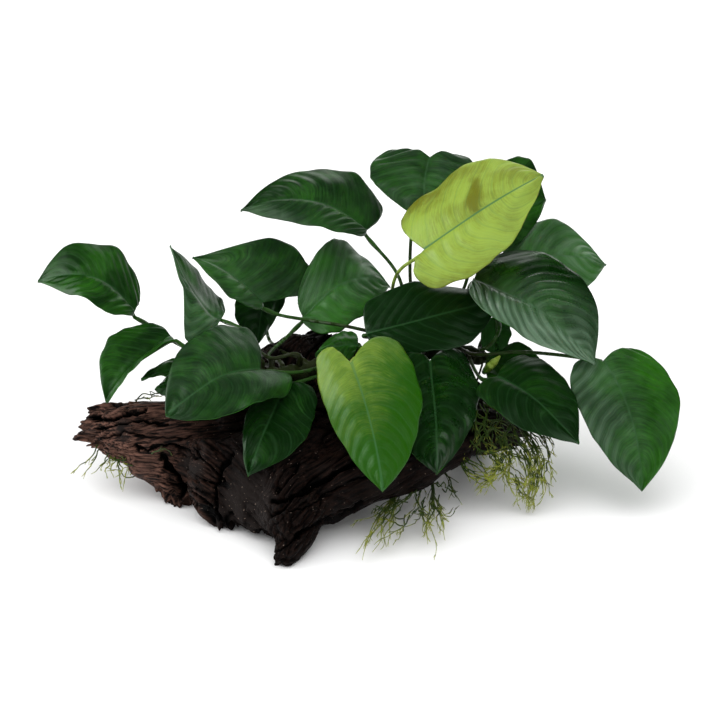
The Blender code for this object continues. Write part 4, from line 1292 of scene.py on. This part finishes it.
class ANUBIAS_OT_roots(bpy.types.Operator):
    """Lay roots from the rhizome over the driftwood"""

    bl_idname = "anubias.roots"
    bl_label = "Roots"

    def execute(self, context):
        look = context.scene.anubias_stems
        plain = surface_tree(WOOD_NODES)
        carved = surface_tree([node.replace("driftwood", "wood") for node in WOOD_NODES])
        work = stem_work()
        for k in range(look.roots):
            chance = random.Random(ROOT_SEED + k)
            turn = chance.choice((1.0, -1.0)) * chance.uniform(100.0, 150.0)
            point, out = foot_of((k + 0.5) / look.roots, turn)
            points = [point - out * 2.5 * MM, point]
            way = out
            for _ in range(chance.randint(7, 15)):
                drift = Vector((chance.uniform(-1, 1), chance.uniform(-1, 1), chance.uniform(-1.2, 0.3)))
                way = (way + drift * 0.55).normalized()
                spot, normal, _, _ = plain.find_nearest(points[-1] + way * 2.2 * MM)
                points.append(spot)
                way = (way - normal * way.dot(normal) * 0.9).normalized()
            for n in range(2, len(points)):
                spot, normal, _, _ = carved.find_nearest(points[n])
                points[n] = spot + normal * look.root * 0.5
            points = untangled(points, look.root)
            radii = [look.root * (1.0 - 0.7 * n / len(points)) for n in range(len(points))]
            strand = stem_work()
            rings = sweep(strand, points, radii, ROOT_SIDES)
            along_rings(strand, rings, [n / len(points) for n in range(len(points))])
            add_strand(work, strand)
        bmesh.ops.recalc_face_normals(work, faces=work.faces)
        surface = bark_finish("roots", look.root_colour, darker(look.root_colour, 0.5), 500.0)
        new_piece("roots", work, [surface])
        return {"FINISHED"}


class ANUBIAS_OT_moss(bpy.types.Operator):
    """Grow the tufts of moss strand by strand"""

    bl_idname = "anubias.moss"
    bl_label = "Moss"

    def execute(self, context):
        look = context.scene.anubias_moss
        surface = moss_finish("moss", look.old, look.fresh)
        for number, (name, limbs) in enumerate(TUFTS.items()):
            chance = random.Random(MOSS_SEED + number)
            work = stem_work()
            for spots in STRANDS[name]:
                for copy in range(self.copies_of(name, spots, look)):
                    self.grow_strand(work, self.led(spots, copy, chance), look, chance)
            bulk = sum(self.bulk(limb) for limb in limbs)
            for limb in limbs:
                for _ in range(round(look.strands * min(bulk / 2600.0, 1.0) * self.bulk(limb) / bulk)):
                    self.grow_strand(work, self.strayed(limb, chance), look, chance)
            self.age(work)
            new_piece(name + "_tuft", work, [surface], [name])
        return {"FINISHED"}

    def copies_of(self, name, spots, look):
        """How many strands run along a course: most where it hangs free of the wood at the right."""
        if name not in ("moss_front", "moss_right"):
            return 1
        return look.copies if name == "moss_right" and spots[-1][1] < -52.0 else look.copies - 2

    def age(self, work):
        """Keeps the upper part of a tuft, which lies on the wood, older than what hangs free."""
        along = work.verts.layers.float["along"]
        heights = [vertex.co.z for vertex in work.verts]
        low, high = min(heights), max(heights)
        for vertex in work.verts:
            drop = (high - vertex.co.z) / (high - low)
            vertex[along] *= 0.12 + 0.88 * smoothstep(0.22, 0.62, drop)

    def bulk(self, limb):
        """A measure of a limb's side face."""
        return path_length([Vector(spot) for spot in limb.spots]) * sum(limb.widths) / len(limb.widths)

    def led(self, spots, copy, chance):
        """The course of a strand that passes the spots, or runs near by for a further copy."""
        loose = (0.3, 2.0, 3.4)[min(copy, 2)] * MM
        points = [place(*spot) for spot in spots]
        aside = Vector([chance.uniform(-loose, loose) for _ in range(3)])
        cut = 1.0 if copy == 0 else chance.uniform(0.6, 1.0)
        seed = chance.uniform(0.0, 50.0)
        way = []
        for k in range(LED_STEPS + 1):
            t = k / LED_STEPS
            point = along_spline(points, t * cut)
            sway = Vector([noise.noise(Vector((seed + 7.0 * axis, t * 5.0, 0.0))) for axis in range(3)])
            way.append(point + aside * (0.4 + 0.6 * t) + sway * ((0.7 + 0.5 * loose / MM) * MM))
        return way

    def strayed(self, limb, chance):
        """The course of a strand that winds about inside a limb."""
        points, radii = limb_course(limb, 24)
        frames = frames_along(points)
        start = chance.uniform(0.0, 0.5)
        end = min(1.0, start + chance.uniform(0.25, 0.6))
        turn, twist = chance.uniform(0.0, 2.0 * math.pi), chance.uniform(-2.2, 2.2)
        inner, outer = chance.uniform(0.1, 0.9), chance.uniform(0.2, 1.0)
        seed = chance.uniform(0.0, 50.0)
        way = []
        for k in range(STRAYED_STEPS + 1):
            t = k / STRAYED_STEPS
            low, part = divmod((start + (end - start) * t) * 23.99, 1.0)
            low = int(low)
            centre = points[low].lerp(points[low + 1], part)
            radius = radii[low] * (1.0 - part) + radii[low + 1] * part
            angle = turn + twist * t
            right, front = (frames[low].col[axis].to_3d() for axis in (0, 1))
            side = right * math.cos(angle) + front * math.sin(angle)
            sway = Vector([noise.noise(Vector((seed + 7.0 * axis, t * 4.0, 0.0))) for axis in range(3)])
            way.append(centre + side * (radius * (inner + (outer - inner) * t)) + sway * (2.5 * MM))
        return way

    def grow_strand(self, work, way, look, chance):
        """A stem with side shoots that fork once."""
        self.grow_stem(work, way, look, chance, 1.0, 0.0)
        count = len(way)
        length = path_length(way)
        for k in range(3, count - 1):
            if chance.random() < 0.42:
                reach = chance.uniform(2.5, 9.0) * MM * (1.1 - 0.6 * k / count)
                reach *= min(length / (30.0 * MM), 1.0)
                shoot = self.shoot(way[k], way[k + 1] - way[k - 1], reach, chance)
                self.grow_stem(work, shoot, look, chance, 0.62, 0.35 + 0.35 * k / count)
                if reach > 4.0 * MM:
                    fork = self.shoot(shoot[3], shoot[4] - shoot[2], reach * 0.5, chance)
                    self.grow_stem(work, fork, look, chance, 0.42, 0.6 + 0.3 * k / count)

    def any_side(self, forward, chance):
        """A direction across the way that chance picks."""
        out = forward.orthogonal().normalized()
        out.rotate(Matrix.Rotation(chance.uniform(0.0, 2.0 * math.pi), 3, forward))
        return out

    def shoot(self, start, forward, reach, chance):
        """The course of a side shoot that leaves a stem and bends along with it."""
        forward = forward.normalized()
        out = self.any_side(forward, chance)
        bend = chance.uniform(-0.2, 0.5)
        way = []
        for n in range(SHOOT_STEPS + 1):
            t = n / SHOOT_STEPS
            lead = forward * (t + bend * t * t) + out * (0.5 * t - 0.3 * bend * t * t)
            way.append(start + lead * (0.8 * reach) + Vector((0.0, 0.0, -0.12 * reach * t * t)))
        return way

    def grow_stem(self, work, way, look, chance, thickness, age):
        """A thin stem along a way, with small pointed leaflets that lie along it."""
        strand = stem_work()
        count = len(way)
        radii = [look.stem * thickness * (1.0 - 0.72 * (k / count) ** 1.5) for k in range(count)]
        rings = sweep(strand, way, radii, 5 if thickness == 1.0 else 4)
        along_rings(strand, rings, [age + (1.0 - age) * k / (count - 1) for k in range(count)])
        along = strand.verts.layers.float["along"]
        for k in range(1, count):
            forward = (way[k] - way[k - 1]).normalized()
            for share in (0.15, 0.65):
                if chance.random() < 0.5:
                    continue
                point = way[k - 1].lerp(way[k], share)
                out = self.any_side(forward, chance)
                size = look.leaflet * chance.uniform(0.6, 1.1) * (0.45 + 0.55 * thickness)
                lay = (forward * 2.2 + out).normalized()
                across = forward.cross(out).normalized()
                turned = Matrix((lay, across, lay.cross(across))).transposed().to_4x4()
                scaled = Matrix.Diagonal((size, size * 0.34, 1.0, 1.0))
                pose = Matrix.Translation(point + lay * size * 0.45) @ turned @ scaled
                made = bmesh.ops.create_circle(strand, cap_ends=True, segments=4, radius=0.5, matrix=pose)
                for vertex in made["verts"]:
                    vertex[along] = min(1.0, age + (1.0 - age) * k / count + 0.1)
        add_strand(work, strand)


class ANUBIAS_OT_stage(bpy.types.Operator):
    """Set up the camera, the soft light and the pale floor"""

    bl_idname = "anubias.stage"
    bl_label = "Stage"

    def execute(self, context):
        look = context.scene.anubias_stage
        scene = context.scene
        scene.view_settings.view_transform = "Standard"
        sight = Vector(SIGHT)
        camera = in_scene("camera", bpy.data.cameras.new("camera"))
        camera.data.lens = look.lens
        camera.data.sensor_width = 36.0
        camera.data.clip_start = 0.05
        camera.location = SKETCH_CENTRE * MM + sight * (EYE_DISTANCE * MM)
        camera.rotation_euler = (-sight).to_track_quat("-Z", "Y").to_euler()
        scene.camera = camera
        self.light("top_light", Vector((-0.1, -0.2, 1.6)), 3.0, look.top_light).visible_glossy = False
        for name, (spot, size, share) in SIDE_LIGHTS.items():
            self.light(name, Vector(spot), size, look.side_light * share)
        world = bpy.data.worlds.new("surround")
        world.use_nodes = True
        world.node_tree.nodes["Background"].inputs["Color"].default_value = (1.0, 1.0, 1.0, 1.0)
        world.node_tree.nodes["Background"].inputs["Strength"].default_value = look.sky
        world.cycles_visibility.glossy = False
        scene.world = world
        self.lay_floor(look)
        return {"FINISHED"}

    def light(self, name, spot, size, power):
        lamp = bpy.data.lights.new(name, "AREA")
        lamp.shape = "DISK"
        lamp.size = size
        lamp.energy = power
        holder = in_scene(name, lamp)
        holder.location = spot
        holder.rotation_euler = (SKETCH_CENTRE * MM - spot).to_track_quat("-Z", "Y").to_euler()
        return holder

    def lay_floor(self, look):
        work = bmesh.new()
        bmesh.ops.create_grid(work, x_segments=1, y_segments=1, size=6.0)
        floor = in_scene("floor", mesh_from("floor", work))
        finish = Finish("floor", 0.9, 0.1)
        cloud = finish.noise(finish.place(), 3.0, 2.0)
        shade = finish.mix(finish.eased(cloud, 0.3, 0.7), tuple(look.floor), darker(look.floor, 0.99))
        floor.data.materials.append(finish.finished(shade, 0.9, finish.bump(cloud, 0.02, 0.1 * MM)))


class ANUBIAS_PT_panel(bpy.types.Panel):
    """The steps of the anubias in the sidebar of the 3D view"""

    bl_idname = "ANUBIAS_PT_panel"
    bl_label = "Anubias on driftwood"
    bl_space_type = "VIEW_3D"
    bl_region_type = "UI"
    bl_category = "Anubias"

    def draw(self, context):
        for group, operators in STEPS:
            box = self.layout.box()
            look = getattr(context.scene, group)
            for prop in look.bl_rna.properties:
                if prop.identifier not in ("rna_type", "name"):
                    box.prop(look, prop.identifier)
            for operator in operators:
                box.operator(operator.bl_idname)


STEPS = (
    ("anubias_wood", (ANUBIAS_OT_driftwood,)),
    ("anubias_stems", (ANUBIAS_OT_rhizome, ANUBIAS_OT_roots, ANUBIAS_OT_petioles)),
    ("anubias_blades", (ANUBIAS_OT_blades,)),
    ("anubias_moss", (ANUBIAS_OT_moss,)),
    ("anubias_stage", (ANUBIAS_OT_stage,)),
)
LOOKS = {
    "anubias_wood": WoodLook,
    "anubias_stems": StemLook,
    "anubias_blades": BladeLook,
    "anubias_moss": MossLook,
    "anubias_stage": StageLook,
}


def register():
    for name, look in LOOKS.items():
        bpy.utils.register_class(look)
        setattr(bpy.types.Scene, name, PointerProperty(type=look))
    for _, operators in STEPS:
        for operator in operators:
            bpy.utils.register_class(operator)
    bpy.utils.register_class(ANUBIAS_PT_panel)


def unregister():
    bpy.utils.unregister_class(ANUBIAS_PT_panel)
    for _, operators in reversed(STEPS):
        for operator in reversed(operators):
            bpy.utils.unregister_class(operator)
    for name, look in reversed(LOOKS.items()):
        delattr(bpy.types.Scene, name)
        bpy.utils.unregister_class(look)


def main():
    register()
    bpy.ops.anubias.driftwood()
    bpy.ops.anubias.rhizome()
    bpy.ops.anubias.roots()
    bpy.ops.anubias.petioles()
    bpy.ops.anubias.blades()
    bpy.ops.anubias.moss()
    bpy.ops.anubias.stage()


if __name__ == "__main__":
    main()
